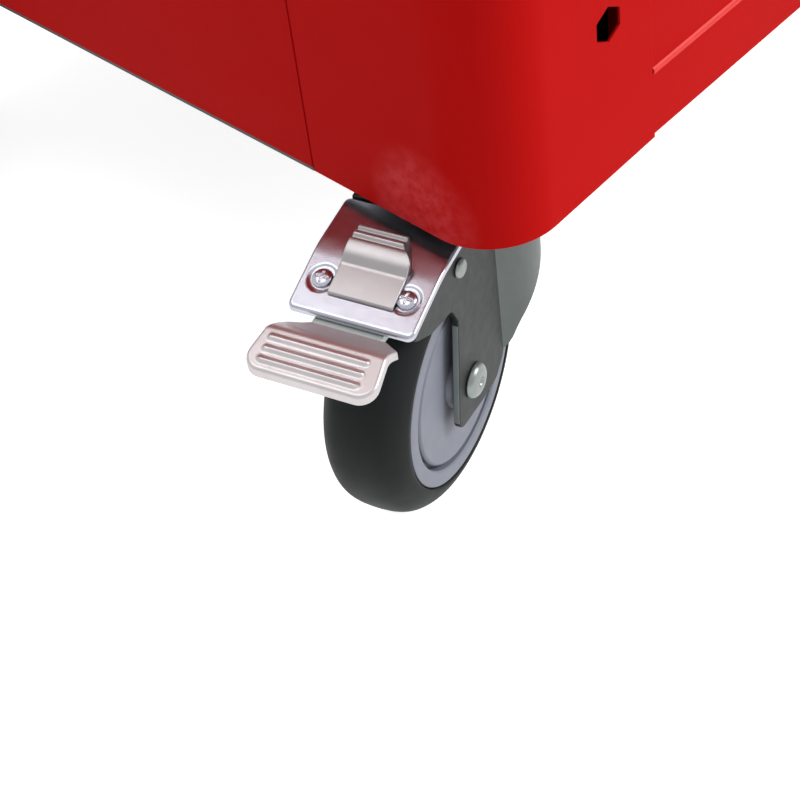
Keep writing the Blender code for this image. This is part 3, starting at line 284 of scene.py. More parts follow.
def gridFaces(rows, columns, wrapRows=False, wrapColumns=False):
    # quad k of row i joins points k and k + 1 of rows i and i + 1
    row = np.arange(rows if wrapRows else rows - 1)[:, None]
    column = np.arange(columns if wrapColumns else columns - 1)[None, :]
    nextRow, nextColumn = (row + 1) % rows, (column + 1) % columns
    quads = np.stack([row * columns + column, row * columns + nextColumn,
                      nextRow * columns + nextColumn, nextRow * columns + column], -1)
    return quads.reshape(-1, 4).tolist()


def closedFaces(rows, count):
    # the quads of a skin of rings, and a cap on its first and its last ring
    caps = [list(range(count)), list(range((rows - 1) * count, rows * count))]
    return gridFaces(rows, count, wrapColumns=True) + caps


def arcPoints(centre, radius, start, end, steps):
    turn = np.linspace(start, end, steps + 1)
    return np.stack([centre[0] + radius * np.cos(turn), centre[1] + radius * np.sin(turn)], -1)


def roundCorners(corners, closed=True, steps=6):
    # each corner (x, y, radius) becomes an arc that touches both of its sides; radius 0 stays a point
    points = []
    for k, (x, y, radius) in enumerate(corners):
        here = np.array((x, y))
        if radius == 0 or (not closed and k in (0, len(corners) - 1)):
            points.append(here[None])
            continue
        before = np.array(corners[k - 1][:2]) - here
        after = np.array(corners[(k + 1) % len(corners)][:2]) - here
        before, after = before / np.linalg.norm(before), after / np.linalg.norm(after)
        half = np.arccos(np.clip(before @ after, -1, 1)) / 2
        bisector = (before + after) / np.linalg.norm(before + after)
        centre = here + bisector * radius / np.sin(half)
        first, last = here + before * radius / np.tan(half), here + after * radius / np.tan(half)
        angle = [np.arctan2(*(p - centre)[::-1]) for p in (first, last)]
        sweep = (angle[1] - angle[0] + np.pi) % (2 * np.pi) - np.pi
        points.append(arcPoints(centre, radius, angle[0], angle[0] + sweep, steps))
    return np.concatenate(points)


def rectangle(low, high, radius, steps):
    (x0, y0), (x1, y1) = low, high
    return roundCorners([(x0, y0, radius), (x1, y0, radius), (x1, y1, radius), (x0, y1, radius)], steps=steps)


def resample(outline, spacing):
    # the same closed outline with a point about every spacing, corners kept
    points = []
    for start, end in zip(outline, np.roll(outline, -1, 0)):
        count = max(1, int(np.linalg.norm(end - start) / spacing))
        points.append(start + (end - start) * (np.arange(count) / count)[:, None])
    return np.concatenate(points)


def outward(outline, closed=True):
    # mitre vector of each point: the sum of its two edge normals over 1 + their dot product
    run = np.roll(outline, -1, 0) - outline
    if not closed:
        run[-1] = run[-2]
    normal = np.stack([run[:, 1], -run[:, 0]], -1)
    normal /= np.linalg.norm(normal, axis=1)[:, None]
    before = np.roll(normal, 1, 0)
    if not closed:
        before[0] = normal[0]
    return (normal + before) / (1 + (normal * before).sum(1))[:, None]


def counterClockwise(outline):
    x, y = outline.T
    area = (x * np.roll(y, -1) - np.roll(x, -1) * y).sum()
    return outline if area > 0 else outline[::-1]


def slab(outline, low, high, edge, steps=3):
    # the outline, drawn in by edge (1 - cos t) at a height edge (1 - sin t) from each flat face
    outline = counterClockwise(np.asarray(outline))
    turn = np.linspace(np.pi / 2, 0, steps + 1)
    inset = np.concatenate([edge * (1 - np.cos(turn)), edge * (1 - np.cos(turn[::-1]))])
    height = np.concatenate([high - edge * (1 - np.sin(turn)), low + edge * (1 - np.sin(turn[::-1]))])
    rings = outline[None] - outward(outline)[None] * inset[:, None, None]
    points = np.concatenate([rings, np.broadcast_to(height[:, None, None], (*rings.shape[:2], 1))], -1)
    return points.reshape(-1, 3), closedFaces(len(inset), len(outline))


def turnedShape(profile, steps=72, closed=False):
    # each (radius, height) of the profile carried round the third axis
    profile = np.asarray(profile, float)
    turn = np.arange(steps) * 2 * np.pi / steps
    points = np.stack([profile[:, None, 0] * np.cos(turn), profile[:, None, 0] * np.sin(turn),
                       np.broadcast_to(profile[:, None, 1], (len(profile), steps))], -1)
    return points.reshape(-1, 3), gridFaces(len(profile), steps, wrapRows=closed, wrapColumns=True)


def bentSheet(path, low, high, thickness, edge=0.0003):
    # a plan path with its outside on the right, times a thin upright rectangle with its corners cut
    path = np.asarray(path)
    inward = -outward(path, closed=False)
    low, high = np.broadcast_to(low, len(path)), np.broadcast_to(high, len(path))
    section = [(edge, low), (0, low + edge), (0, high - edge), (edge, high), (thickness - edge, high),
               (thickness, high - edge), (thickness, low + edge), (thickness - edge, low)]
    points = np.stack([np.concatenate([path + inward * depth, height[:, None]], -1)
                       for depth, height in section], 1)
    return points.reshape(-1, 3), closedFaces(len(path), len(section))


def pan(outline, spine, rim, top, thickness, spacing=0.0007):
    # a pressed sheet: rings step in from its outline, over the rolled rim, to a middle line.
    # rim lists (inset, drop) from the lip's lower edge up to the flat; top(x, y) gives the height.
    outline = counterClockwise(np.asarray(outline))
    mitre = outward(outline)
    ends = np.asarray(spine, float)
    along = ends[1] - ends[0]

    def ring(inset):
        return outline - mitre * inset

    def inner(flat, share):
        start = ring(flat)
        place = np.clip((start - ends[0]) @ along / (along @ along), 0, 1)
        target = ends[0] + place[:, None] * along
        return start + (target - start) * share

    def layer(steps, shift):
        rows = []
        for points, drop in steps:
            height = top(points[:, 0], points[:, 1]) - drop - shift
            rows.append(np.concatenate([points, height[:, None]], -1))
        return rows

    flat = rim[-1][0]
    reach = np.linalg.norm(inner(flat, 1) - ring(flat), axis=1).max()
    shares = np.linspace(0, 1, int(reach / spacing) + 2)[1:]
    upper = [(ring(inset), drop) for inset, drop in rim] + [(inner(flat, share), 0) for share in shares]
    lower = [(ring(inset + thickness), drop) for inset, drop in rim if drop > thickness]
    lower += [(inner(flat + thickness, share), 0) for share in np.linspace(0, 1, 6)]
    rows = layer(upper[::-1], 0) + layer(lower[:-6], 0) + layer(lower[-6:], thickness)
    count = len(outline)
    return np.concatenate(rows), gridFaces(len(rows), count, wrapColumns=True)


def rolledRim(lip, roll, steps):
    # for a pan: the lip's lower edge, then a quarter circle up to the flat
    turn = np.linspace(0, np.pi / 2, steps + 1)
    return [(0, lip)] + [(roll * (1 - np.cos(t)), roll * (1 - np.sin(t))) for t in turn]


def tube(path, radius, sides=28):
    # a circle carried along a path that lies level
    path = np.asarray(path, float)
    along = np.gradient(path, axis=0)
    along /= np.linalg.norm(along, axis=1)[:, None]
    across = np.cross(along, (0, 0, 1))
    turn = np.arange(sides) * 2 * np.pi / sides
    ring = (across[:, None] * np.cos(turn)[None, :, None] + np.array((0, 0, 1)) * np.sin(turn)[None, :, None])
    points = path[:, None] + ring * radius
    return points.reshape(-1, 3), closedFaces(len(path), sides)


def smooth(points, steps):
    # a curve through the points: on each span a cubic that keeps the slope of its neighbours
    ends = np.concatenate([[2 * points[0] - points[1]], points, [2 * points[-1] - points[-2]]])
    before, start, end, after = ends[:-3], ends[1:-2], ends[2:-1], ends[3:]
    t = (np.arange(steps) / steps)[None, :, None]
    before, start, end, after = (item[:, None] for item in (before, start, end, after))
    curve = 0.5 * (2 * start + (end - before) * t + (2 * before - 5 * start + 4 * end - after) * t ** 2
                   + (3 * start - before - 3 * end + after) * t ** 3)
    return np.concatenate([curve.reshape(-1, points.shape[1]), points[-1:]])


def eased(share):
    # from 0 to 1, level at both ends
    share = np.clip(share, 0, 1)
    return share * share * (3 - 2 * share)


def mirrored(half):
    # a profile, and the same one upside down
    return np.concatenate([half, half[::-1] * (1, -1)])


def join(*shapes):
    points, faces, start = [], [], 0
    for shape, quads in shapes:
        points.append(shape)
        faces += [[index + start for index in quad] for quad in quads]
        start += len(shape)
    return np.concatenate(points), faces


def swap(shape, order):
    return shape[0][:, order], shape[1]


def move(shape, *shift):
    return shape[0] + np.array(shift), shape[1]


def upright(outline, low, high, edge, steps):
    # a side view as a plate that stands along the first axis
    return swap(slab(outline, low, high, edge, steps), [0, 2, 1])


def bothSides(outline, inner, outer, edge, steps):
    # the side view as a plate at each side of the middle
    return [upright(outline, *sorted((side * inner, side * outer)), edge, steps) for side in (-1, 1)]


def hexagon(radius, turn=0.0):
    return arcPoints((0, 0), radius, turn, turn + 2 * np.pi, 6)[:-1]


def boxSlab(low, high, edge):
    # a block with its edges rounded at the top and bottom
    return slab(rectangle(low[:2], high[:2], 0.0, 3), low[2], high[2], edge, 2)


class Place:  # carries a shape from its own axes to the cart's
    def __init__(self, origin, first=(1, 0, 0), second=(0, 1, 0), third=(0, 0, 1)):
        self.origin, self.axes = np.array(origin), np.array([first, second, third])

    def put(self, shape):
        return shape[0] @ self.axes + self.origin, shape[1]


def makeMesh(name, shape, merge=0.0):
    mesh = bpy.data.meshes.new(name)
    mesh.from_pydata(np.asarray(shape[0]).tolist(), [], shape[1])
    loose = bmesh.new()
    loose.from_mesh(mesh)
    if merge:
        bmesh.ops.remove_doubles(loose, verts=loose.verts, dist=merge)
    bmesh.ops.recalc_face_normals(loose, faces=loose.faces)
    loose.to_mesh(mesh)
    loose.free()
    return mesh


def shade(piece, crease=50):
    piece.data.shade_smooth()
    piece.data.set_sharp_from_angle(angle=np.radians(crease))
    piece.modifiers.new("evenNormals", "WEIGHTED_NORMAL").keep_sharp = True


def evaluated(item):
    bpy.context.view_layer.update()
    return bpy.data.meshes.new_from_object(item.evaluated_get(bpy.context.evaluated_depsgraph_get()))


def makePiece(name, shape, finish, body, nodes=(), crease=50):
    piece = addObject(name, makeMesh(name, shape, 0.000002))
    piece.data.materials.append(finish.material)
    shade(piece, crease)
    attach(piece, body)
    if nodes:
        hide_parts(*nodes)
    return piece


def cut(piece, shape, bevel=0.0):
    # takes a shape away from a piece and rounds the edges that are left
    cutter = addObject("cutter", makeMesh("cutter", shape))
    piece.modifiers.clear()
    change = piece.modifiers.new("cut", "BOOLEAN")
    change.operation, change.solver, change.object = "DIFFERENCE", "EXACT", cutter
    if bevel:
        soften = piece.modifiers.new("soften", "BEVEL")
        soften.width, soften.segments, soften.limit_method = bevel, 2, "ANGLE"
        soften.angle_limit = np.radians(40)
    made = evaluated(piece)
    piece.modifiers.clear()
    piece.data = made
    bpy.data.objects.remove(cutter)
    shade(piece)


# cabinet: x along the drawers, y from their face to the back, z up from the floor

cabinet = Place(corner)
cabinetWidth = frameHigh[0] - frameLow[0]
cabinetDepth = nodeBox("rear_shell")[1][1] - frameLow[1]
bodyTop = frameHigh[2]
skirt = nodeBox("side_panel_left")[0][2]

shell = {
    "sheet": 0.0012,
    "corner": 0.0303,
    "columnFront": 0.0935,
    "columnSide": frameHigh[1] - frameLow[1],
    "columnFoot": (0.0, -0.0013, -0.0014, 0.0002),  # below the skirt: side, corner, corner, opening
    "seam": 0.0011,
    "plinthFoot": 0.0021,
    "ledge": 0.0336,  # top of the plinth above the skirt
    "ledgeDepth": 0.0008,
    "ledgeRise": 0.0007,
    "fascia": 0.0446,
    "rail": 0.035,
    "return": 0.020,
    "bend": 0.0012,
    "hexRadius": 0.0079,
    "hexReach": 0.004,
    "hexSide": 0.0661,
    "hexFirst": 0.0718,
    "hexPitch": 0.096,
    "hexCount": 7,
}


def frontSkin():
    # the plan line from seam to seam, times heights that bend with the foot; the opening's cells are left out
    width, radius, bend = cabinetWidth, shell["corner"], shell["bend"]
    steps = 20
    leftArc = arcPoints((radius, radius), radius, np.pi, 1.5 * np.pi, steps)
    inner = np.array([(x, 0) for x in (shell["columnFront"] - bend, shell["columnFront"])])
    half = np.concatenate([[(0, shell["columnSide"] - shell["seam"])], leftArc, inner])
    mirrored = half[::-1] * (-1, 1) + (width, 0)
    path = np.concatenate([half, mirrored])
    run = np.concatenate([[0], np.cumsum(np.linalg.norm(np.diff(half, axis=0), axis=1))])
    foot = np.interp(run, [0, run[1], run[steps + 1], run[-1]], shell["columnFoot"])
    foot = np.concatenate([foot, foot[::-1]])
    heights = [skirt + foot, skirt + shell["plinthFoot"], skirt + shell["ledge"] - bend,
               bodyTop - shell["rail"] + bend, bodyTop]
    rows = np.stack([np.broadcast_to(height, len(path)) for height in heights])
    points = np.concatenate([np.broadcast_to(path, (len(rows), *path.shape)), rows[..., None]], -1)
    quads = np.array(gridFaces(*rows.shape)).reshape(len(rows) - 1, len(path) - 1, 4)
    keep = np.ones(quads.shape[:2], bool)
    opening = len(half) - 2
    keep[2, opening:-opening] = False
    keep[0, opening + 1:-opening - 1] = False
    return cabinet.put((points.reshape(-1, 3), quads[keep][:, ::-1].tolist()))


def thicken(sheet):
    # the sheet with its thickness and the strips that close its rims
    mesh = bpy.data.meshes.new("sheet")
    mesh.from_pydata(sheet[0].tolist(), [], sheet[1])
    item = addObject("sheet", mesh)
    wall = item.modifiers.new("wall", "SOLIDIFY")
    wall.thickness, wall.offset, wall.use_even_offset = shell["sheet"], -1, True
    made = evaluated(item)
    bpy.data.objects.remove(item)
    solid = np.empty(len(made.vertices) * 3)
    made.vertices.foreach_get("co", solid)
    return solid.reshape(-1, 3), [list(face.vertices) for face in made.polygons]


def hexHoles():
    holes = []
    for side in (shell["hexSide"], cabinetWidth - shell["hexSide"]):
        for row in range(shell["hexCount"]):
            height = skirt + shell["hexFirst"] + row * shell["hexPitch"]
            prism = upright(hexagon(shell["hexRadius"], np.pi / 2), -shell["hexReach"], shell["hexReach"], 0.0001, 1)
            holes.append(move(prism, side, 0, height))
    return cabinet.put(join(*holes))


def openingReturn():
    # the sheet that turns back round the sides and top of the drawer opening, with a small bend
    bend, depth, sheet = shell["bend"], shell["return"], shell["sheet"]
    left, right = shell["columnFront"], cabinetWidth - shell["columnFront"]
    low, high = skirt + shell["ledge"] - bend, bodyTop - shell["rail"]
    turn = np.linspace(0, np.pi / 2, 5)
    outer = [(bend * (1 - np.sin(t)), bend * (1 - np.cos(t))) for t in turn]
    out, back = np.array(outer + [(0, depth), (sheet, depth), (sheet, bend), (bend, sheet)]).T
    zero = np.zeros_like(out)
    corners = [np.stack([left - out, back, zero + low], -1), np.stack([left - out, back, high + out], -1),
               np.stack([right + out, back, high + out], -1), np.stack([right + out, back, zero + low], -1)]
    return cabinet.put((np.concatenate(corners), closedFaces(len(corners), len(out))))


def acrossOpening(corners, reach):
    # a sheet bent along the side view's corners, across the opening and a little behind both columns
    line = roundCorners(corners, closed=False, steps=5)
    back = line + outward(line, closed=False) * shell["sheet"]
    low, high = shell["columnFront"] - reach, cabinetWidth - shell["columnFront"] + reach
    bar = slab(np.concatenate([line, back[::-1]]), low, high, 0.00001, 1)
    return cabinet.put(move(swap(bar, [2, 0, 1]), 0, 0, skirt))


def ledgeSheet():
    # the plinth's rolled top edge and the ledge that slopes back from it
    front, ledge = -shell["sheet"] - 0.0001, shell["ledge"]
    back = shell["ledgeDepth"] - shell["sheet"]
    return acrossOpening([(front, ledge - 1.6 * shell["bend"], 0), (front, ledge, 0.0005),
                          (back, ledge + shell["ledgeRise"], 0)], 0.0002)


def fasciaSheet():
    # the set-back fascia and its top flange
    face, low = shell["ledgeDepth"] - shell["sheet"], shell["ledge"] + shell["ledgeRise"]
    top = shell["ledge"] + shell["fascia"]
    return acrossOpening([(face + 0.00001, low - 0.0005, 0), (face, top, shell["bend"]), (shell["return"], top, 0)],
                         0.0006)


def makeFront():
    skin = thicken(frontSkin())
    piece = makePiece("frontSkin", skin, redEnamel, "cabinet", ["front_frame"])
    cut(piece, hexHoles(), 0.0002)
    makePiece("openingReturn", openingReturn(), redEnamel, "cabinet")
    makePiece("fasciaSheet", fasciaSheet(), redEnamel, "cabinet")
    # the rolled edge and ledge in the lighter red: a painted highlight
    makePiece("ledgeSheet", ledgeSheet(), foldEnamelPaintedHighlight, "cabinet")


def makeRear():
    radius, width, depth = shell["corner"], cabinetWidth, cabinetDepth
    start = depth - shell["columnSide"]
    path = np.concatenate([[(0, start)], arcPoints((radius, depth - radius), radius, np.pi, np.pi / 2, 20),
                           arcPoints((width - radius, depth - radius), radius, np.pi / 2, 0, 20),
                           [(width, start)]])
    low = skirt + shell["columnFoot"][0]
    shape = bentSheet(path[::-1], low, bodyTop, shell["sheet"])
    makePiece("rearShell", cabinet.put(shape), redEnamel, "cabinet", ["rear_shell"])


makeFront()
makeRear()
for name, finish in (("side_panel_left", redEnamel), ("side_panel_right", redEnamel), ("top_panel", redEnamel),
                     ("base_frame", blackEnamel), ("runner_left", galvanised), ("runner_right", galvanised),
                     ("lock_bar", galvanised)):
    node = frame["nodes"][name]
    node.data.materials.clear()
    node.data.materials.append(finish.material)
print("cabinet made")


# worktop, mat, handle and lock

worktop = {"edge": 0.005, "corner": 0.0343, "rim": 0.022, "tray": 0.022, "trayCorner": 0.018,
           "binWidth": 0.070, "binWall": 0.008, "binCount": 4, "floorRound": 0.004, "over": 0.02, "soften": 0.0012,
           "matGap": 0.001, "matLift": 0.0002, "matEdge": 0.0008}


def makeWorktop():
    low, high = nodeBox("worktop")
    outline = rectangle(low[:2], high[:2], worktop["corner"], 14)
    piece = makePiece("worktopTray", slab(outline, low[2], high[2], worktop["edge"], 5), blackPlastic, "cabinet",
                      ["worktop"])
    rim, wall = worktop["rim"], worktop["binWall"]
    near, far = corner[1] + rim, corner[1] + cabinetDepth - rim
    binsRight = corner[0] + cabinetWidth - rim
    binsLeft = binsRight - worktop["binWidth"]
    pockets = [((corner[0] + rim, near), (binsLeft - wall, far), worktop["trayCorner"])]
    pitch = (far - near + wall) / worktop["binCount"]
    for row in range(worktop["binCount"]):
        start = near + row * pitch
        pockets.append(((binsLeft, start), (binsRight, start + pitch - wall), worktop["trayCorner"] / 2))
    cutters = [slab(rectangle(first, last, radius, 8), high[2] - worktop["tray"], high[2] + worktop["over"],
                    worktop["floorRound"], 4) for first, last, radius in pockets]
    cut(piece, join(*cutters), worktop["soften"])
    low, high = nodeBox("worktop_mat")
    outline = rectangle(low[:2], high[:2], worktop["trayCorner"] - worktop["matGap"], 8)
    makePiece("matSheet", slab(outline, low[2] + worktop["matLift"], high[2], worktop["matEdge"], 3), matRubber,
              "cabinet", ["worktop_mat"])


handleLook = {"bend": 0.032, "gap": 0.0003, "sleeve": 0.0045, "rim": 0.005}


def makeHandle():
    low, high = nodeBox("push_handle")
    radius = (high[2] - low[2]) / 2
    height, bend = (low[2] + high[2]) / 2, handleLook["bend"]
    outer, near, far, end = low[0] + radius, low[1] + radius, high[1] - radius, high[0]
    route = roundCorners([(end, near, 0), (outer, near, bend), (outer, far, bend), (end, far, 0)],
                         closed=False, steps=16)
    path = np.concatenate([route, np.full((len(route), 1), height)], -1)
    makePiece("handleTube", tube(path, radius), blackEnamel, "cabinet", ["push_handle"], crease=60)
    for side in ("front", "rear"):
        low, high = nodeBox("handle_socket_" + side)
        middle, flange = (low + high) / 2, (high[1] - low[1]) / 2
        reach = high[0] - low[0]
        bore = radius + handleLook["gap"]
        sleeve, rim = bore + handleLook["sleeve"], handleLook["rim"]
        profile = [(bore, 0.0), (flange - 0.001, 0.0), (flange, 0.001), (flange, rim - 0.002),
                   (flange - 0.0006, rim - 0.0006), (flange - 0.002, rim), (sleeve + 0.002, rim),
                   (sleeve + 0.0006, rim + 0.0006), (sleeve, rim + 0.002), (sleeve - 0.0005, reach - 0.0012),
                   (sleeve - 0.0014, reach), (bore, reach)]
        place = Place((high[0], middle[1], middle[2]), (0, 1, 0), (0, 0, 1), (-1, 0, 0))
        makePiece("handleSocket_" + side, place.put(turnedShape(profile, 48, closed=True)), blackPlastic, "cabinet",
                  ["handle_socket_" + side])


lockLook = {"barrel": 0.78, "flange": 0.0022, "plug": 0.68, "sunk": 0.0005, "slotHalf": (0.0008, 0.0032)}


def makeLock():
    look = lockLook
    low, high = nodeBox("lock_cylinder")
    middle, flange = (low + high) / 2, (high[0] - low[0]) / 2
    face = high[1] - low[1]
    barrel, foot, plug = flange * look["barrel"], face - look["flange"], face - look["sunk"]
    profile = [(0, 0.0), (barrel, 0.0), (barrel, foot), (flange, foot), (flange, face - 0.0010),
               (flange - 0.0008, face - 0.0002), (flange * 0.72, face), (flange * look["plug"], plug),
               (flange * 0.40, plug), (0, plug)]
    place = Place((middle[0], high[1], middle[2]), (1, 0, 0), (0, 0, 1), (0, -1, 0))
    piece = makePiece("lockCylinder", place.put(turnedShape(profile, 48)), brightZinc, "lock", ["lock_cylinder"])
    across, along = look["slotHalf"]
    slot = boxSlab((-across, -along, face - 0.006), (across, along, face + 0.004), 0.0002)
    cut(piece, place.put(slot))


makeWorktop()
makeHandle()
makeLock()
print("worktop, handle and lock made")


# drawers

drawerLook = {
    "frontDepth": 0.014, "sheet": 0.0012, "roll": 0.0018, "frontMiddle": 0.06,
    "side": 0.0115, "foot": 0.004, "top": 0.014, "traySheet": 0.001, "trayRound": 0.003, "trayRoll": 0.002,
    "trayMiddle": 0.19, "slideReach": 0.010, "slideRise": 0.026, "slideHeight": 0.014, "slideStart": 0.036,
    "slideIn": 0.0003, "gripBack": 0.0037, "gripLip": 0.014, "gripSheet": 0.002,
}


def level(x, _):
    return 0 * x


def drawerFront(low, high):
    # a shallow folded pan that opens towards the back
    look, face, middle = drawerLook, low[1], (low[2] + high[2]) / 2
    ring = rectangle(low[[0, 2]], high[[0, 2]], look["roll"], 5)
    ends = ((low[0] + look["frontMiddle"], middle), (high[0] - look["frontMiddle"], middle))
    points, faces = pan(ring, ends, rolledRim(look["frontDepth"], look["roll"], 4), level, look["sheet"], 0.012)
    return np.stack([points[:, 0], face - points[:, 2], points[:, 1]], -1), faces


def drawerTray(left, right, low, top, front, back):
    # an upright pan with its rim rolled out
    look, middle = drawerLook, (front + back) / 2
    outline = rectangle((left, front), (right, back), look["trayRound"], 4)
    ends = ((left + look["trayMiddle"], middle), (right - look["trayMiddle"], middle))
    points, faces = pan(outline, ends, rolledRim(top - low, look["trayRoll"], 4), level, look["traySheet"], 0.03)
    return points * (1, 1, -1) + (0, 0, low), faces


def drawerGrip(low, high):
    # one extruded section, cut to the drawer's width
    look = drawerLook
    lip, top, sheet, web = low[1], high[2], look["gripSheet"], corner[1] + look["gripBack"]
    section = roundCorners([
        (high[1], top, 0.0006), (lip, top, 0.003), (lip, top - look["gripLip"], 0.0009),
        (lip + sheet, top - look["gripLip"], 0.0009), (lip + sheet, top - sheet, 0.002),
        (web - sheet, top - sheet, 0.0015), (web - sheet, low[2], 0.0006), (web, low[2], 0.0006),
        (web, top - sheet, 0.0006), (high[1], top - sheet, 0.0006)], steps=5)
    return swap(slab(section, low[0], high[0], 0.0003, 2), [2, 0, 1])


def makeDrawer(number):
    name = "drawer_%d" % number
    low, high = nodeBox(name)
    gripLow, gripHigh = nodeBox(name + "_grip")
    look = drawerLook
    left, right, reach = low[0] + look["side"], high[0] - look["side"], look["slideReach"]
    tray = drawerTray(left, right, low[2] + look["foot"], gripHigh[2] - look["top"], low[1] + look["frontDepth"],
                      high[1])
    rise, half, start = low[2] + look["slideRise"], look["slideHeight"] / 2, corner[1] + look["slideStart"]
    slides = [boxSlab((x0, start, rise - half), (x1, high[1] - 0.001, rise + half), 0.0006)
              for x0, x1 in ((left - reach, left + look["slideIn"]), (right - look["slideIn"], right + reach))]
    makePiece("drawerFront%d" % number, drawerFront(low, high), redEnamel, name, [name])
    makePiece("drawerTray%d" % number, tray, blackEnamel, name)
    makePiece("drawerSlides%d" % number, join(*slides), galvanised, name)
    makePiece("drawerGrip%d" % number, drawerGrip(gripLow, gripHigh), aluminium, name, [name + "_grip"])


for number in range(1, 7):
    makeDrawer(number)
print("drawers made")


# wheels

wheelLook = {"radius": 0.0625, "half": 0.019, "hub": 0.0484,
             "shoulder": ((0.0625, 0.0020), (0.0622, 0.0060), (0.0614, 0.0095), (0.0600, 0.0124),
                          (0.0580, 0.0148), (0.0557, 0.0167), (0.0533, 0.0180), (0.0512, 0.0188), (0.0500, 0.0190)),
             "disc": 0.0392, "groove": 0.0021, "grooveDepth": 0.0055, "dish": 0.0006, "boss": 0.0125,
             "legInner": 0.0213, "bore": 0.0062}


def tyreShape():
    # tread, shoulder and side wall, mirrored about the middle, turned round the axle
    look = wheelLook
    radius, half = look["radius"], look["half"]
    side = smooth(np.array(look["shoulder"]), 4)
    across = np.linspace(0, side[0, 1], 6)[:-1]
    tread = np.stack([radius + 0 * across, across], -1)
    wall = [(look["hub"] + 0.0009, half), (look["hub"] + 0.0003, half - 0.0006), (look["hub"] + 0.0003, 0)]
    upper = np.concatenate([tread, side, wall])
    return turnedShape(np.concatenate([upper, upper[-2:0:-1] * (1, -1)]), 120, closed=True)


def coreShape():
    # ring, groove, dished disc and boss, the same on both sides
    look = wheelLook
    half, disc, groove, hub = look["half"], look["disc"], look["groove"], look["hub"]
    dish, deep, outer = half - look["dish"], half - look["grooveDepth"], disc + groove
    boss, leg = look["boss"], look["legInner"]
    upper = np.array([
        (look["bore"], leg - 0.0006), (boss - 0.001, leg - 0.0006), (boss, leg - 0.0014),
        (boss + 0.0004, dish + 0.0003), (boss + 0.0012, dish - 0.0004), (disc * 0.55, dish - 0.0004),
        (disc - 0.0016, dish),
        (disc - 0.0008, dish - 0.0002), (disc - 0.0001, dish - 0.0010), (disc, deep), (outer, deep),
        (outer, half - 0.0008), (outer + 0.0007, half - 0.0001), (outer + 0.0014, half),
        (hub - 0.0012, half), (hub - 0.0003, half - 0.0003), (hub, half - 0.0012)])
    return turnedShape(mirrored(upper), 120, closed=True)


boltLook = {"shank": 0.0060, "inner": 0.0246, "height": 0.0034, "head": 0.0079, "dent": 0.0026}


def boltShape():
    # a riveted head at each end of the shank: a low dome with a shallow dent in the middle
    look = boltLook
    inner, head, height, dent = look["inner"], look["head"], look["height"], look["dent"]
    dome = np.array([(0, 0.62), (0.6 * dent / head, 0.66), (dent / head, 0.96), (0.50, 1.0), (0.68, 0.93), (0.84, 0.74),
                     (0.95, 0.45), (1.0, 0.15), (1.0, 0.0)])
    half = np.concatenate([smooth(dome, 4) * (head, height) + (0, inner), [(look["shank"], inner)]])
    return turnedShape(mirrored(half), 48)


def makeWheel(name, place, body, boltBody):
    axle = place.origin + place.axes[2] * wheelLook["radius"]
    turning = Place(axle, place.axes[0], place.axes[2], place.axes[1])
    makePiece(name + "_tyreSkin", turning.put(tyreShape()), tyreRubber, body, [name + "_tyre"], 60)
    makePiece(name + "_coreSkin", turning.put(coreShape()), hubPlastic, body, [name + "_core"], 35)
    makePiece(name + "_boltSkin", turning.put(boltShape()), boltZinc, boltBody, [name + "_axle_bolt"], 35)


# swivel casters: first axis from pedal to pivot, second towards the pedal's near side, third up

forkLook = {
    "inner": 0.0213, "outer": 0.0243, "edge": 0.00045, "legEdge": 0.0006, "pivot": 0.0495, "skirt": 0.0318,
    "sheet": 0.003,
    "top": 0.142, "crownSheet": 0.004, "crownRadius": 0.0368, "crownHalf": 0.0270, "crownFront": 0.0088,
    # the ends of the cut edge's painted highlight strip
    "paintedShine": ((-0.00825, 0.1010), (-0.01575, 0.0510)),
    "skirtFoot": ((0.0300, 0.0530), (0.0335, 0.0575), (0.0365, 0.0630), (0.0430, 0.0688), (0.0500, 0.0745),
                  (0.0630, 0.0845), (0.0750, 0.0925), (0.0806, 0.0965)),
    "leg": ((-0.0430, 0.1250, 0.001), (-0.0430, 0.1296, 0.001), (-0.0160, 0.1370, 0.01), (0.0090, 0.1382, 0),
            (0.0092, 0.1410, 0), (0.0320, 0.1410, 0), (0.0320, 0.0560, 0), (0.0280, 0.0497, 0.008),
            (0.0205, 0.0434, 0.005), (0.0060, 0.0436, 0.020), (-0.0164, 0.0466, 0.0050), (-0.0078, 0.1040, 0.003),
            (-0.0120, 0.1130, 0.004), (-0.0300, 0.1172, 0.006), (-0.0400, 0.1230, 0.003)),
}


def forkShape():
    look = forkLook
    legs = bothSides(roundCorners(look["leg"], steps=5), look["inner"], look["outer"], look["legEdge"], 4)
    # the crown: flat at the front, round about the pivot behind
    front, half, radius = look["crownFront"], look["crownHalf"], look["crownRadius"]
    joint = np.arctan2(half, -np.sqrt(radius ** 2 - half ** 2))
    plan = np.concatenate([[(front, -half)], arcPoints((look["pivot"], 0), radius, -joint, joint, 48), [(front, half)]])
    return join(*legs, slab(plan, look["top"] - look["crownSheet"], look["top"], 0.0008, 3))


def forkEdgeShape():
    # the cut front edge of each leg, painted bright as a highlight: a thin strip over the sheet's thickness
    look = forkLook
    (topX, topZ), (footX, footZ), proud, deep = *look["paintedShine"], 0.00012, 0.0004
    strip = [(topX - proud, topZ), (topX + deep, topZ), (footX + deep, footZ), (footX - proud, footZ)]
    return join(*bothSides(strip, look["inner"] + 0.0003, look["outer"] - 0.0003, 0.00005, 1))


def forkSkirtShape():
    # a circle about the pivot, from crease to crease, with the foot's height along it
    look = forkLook
    crease = np.arctan2(look["outer"], -np.sqrt(look["skirt"] ** 2 - look["outer"] ** 2))
    path = arcPoints((look["pivot"], 0), look["skirt"], -crease, crease, 56)
    foot = np.interp(path[:, 0], *np.array(look["skirtFoot"]).T)
    return bentSheet(path, foot, look["top"] - look["crownSheet"] + 0.0004, look["sheet"], look["edge"])


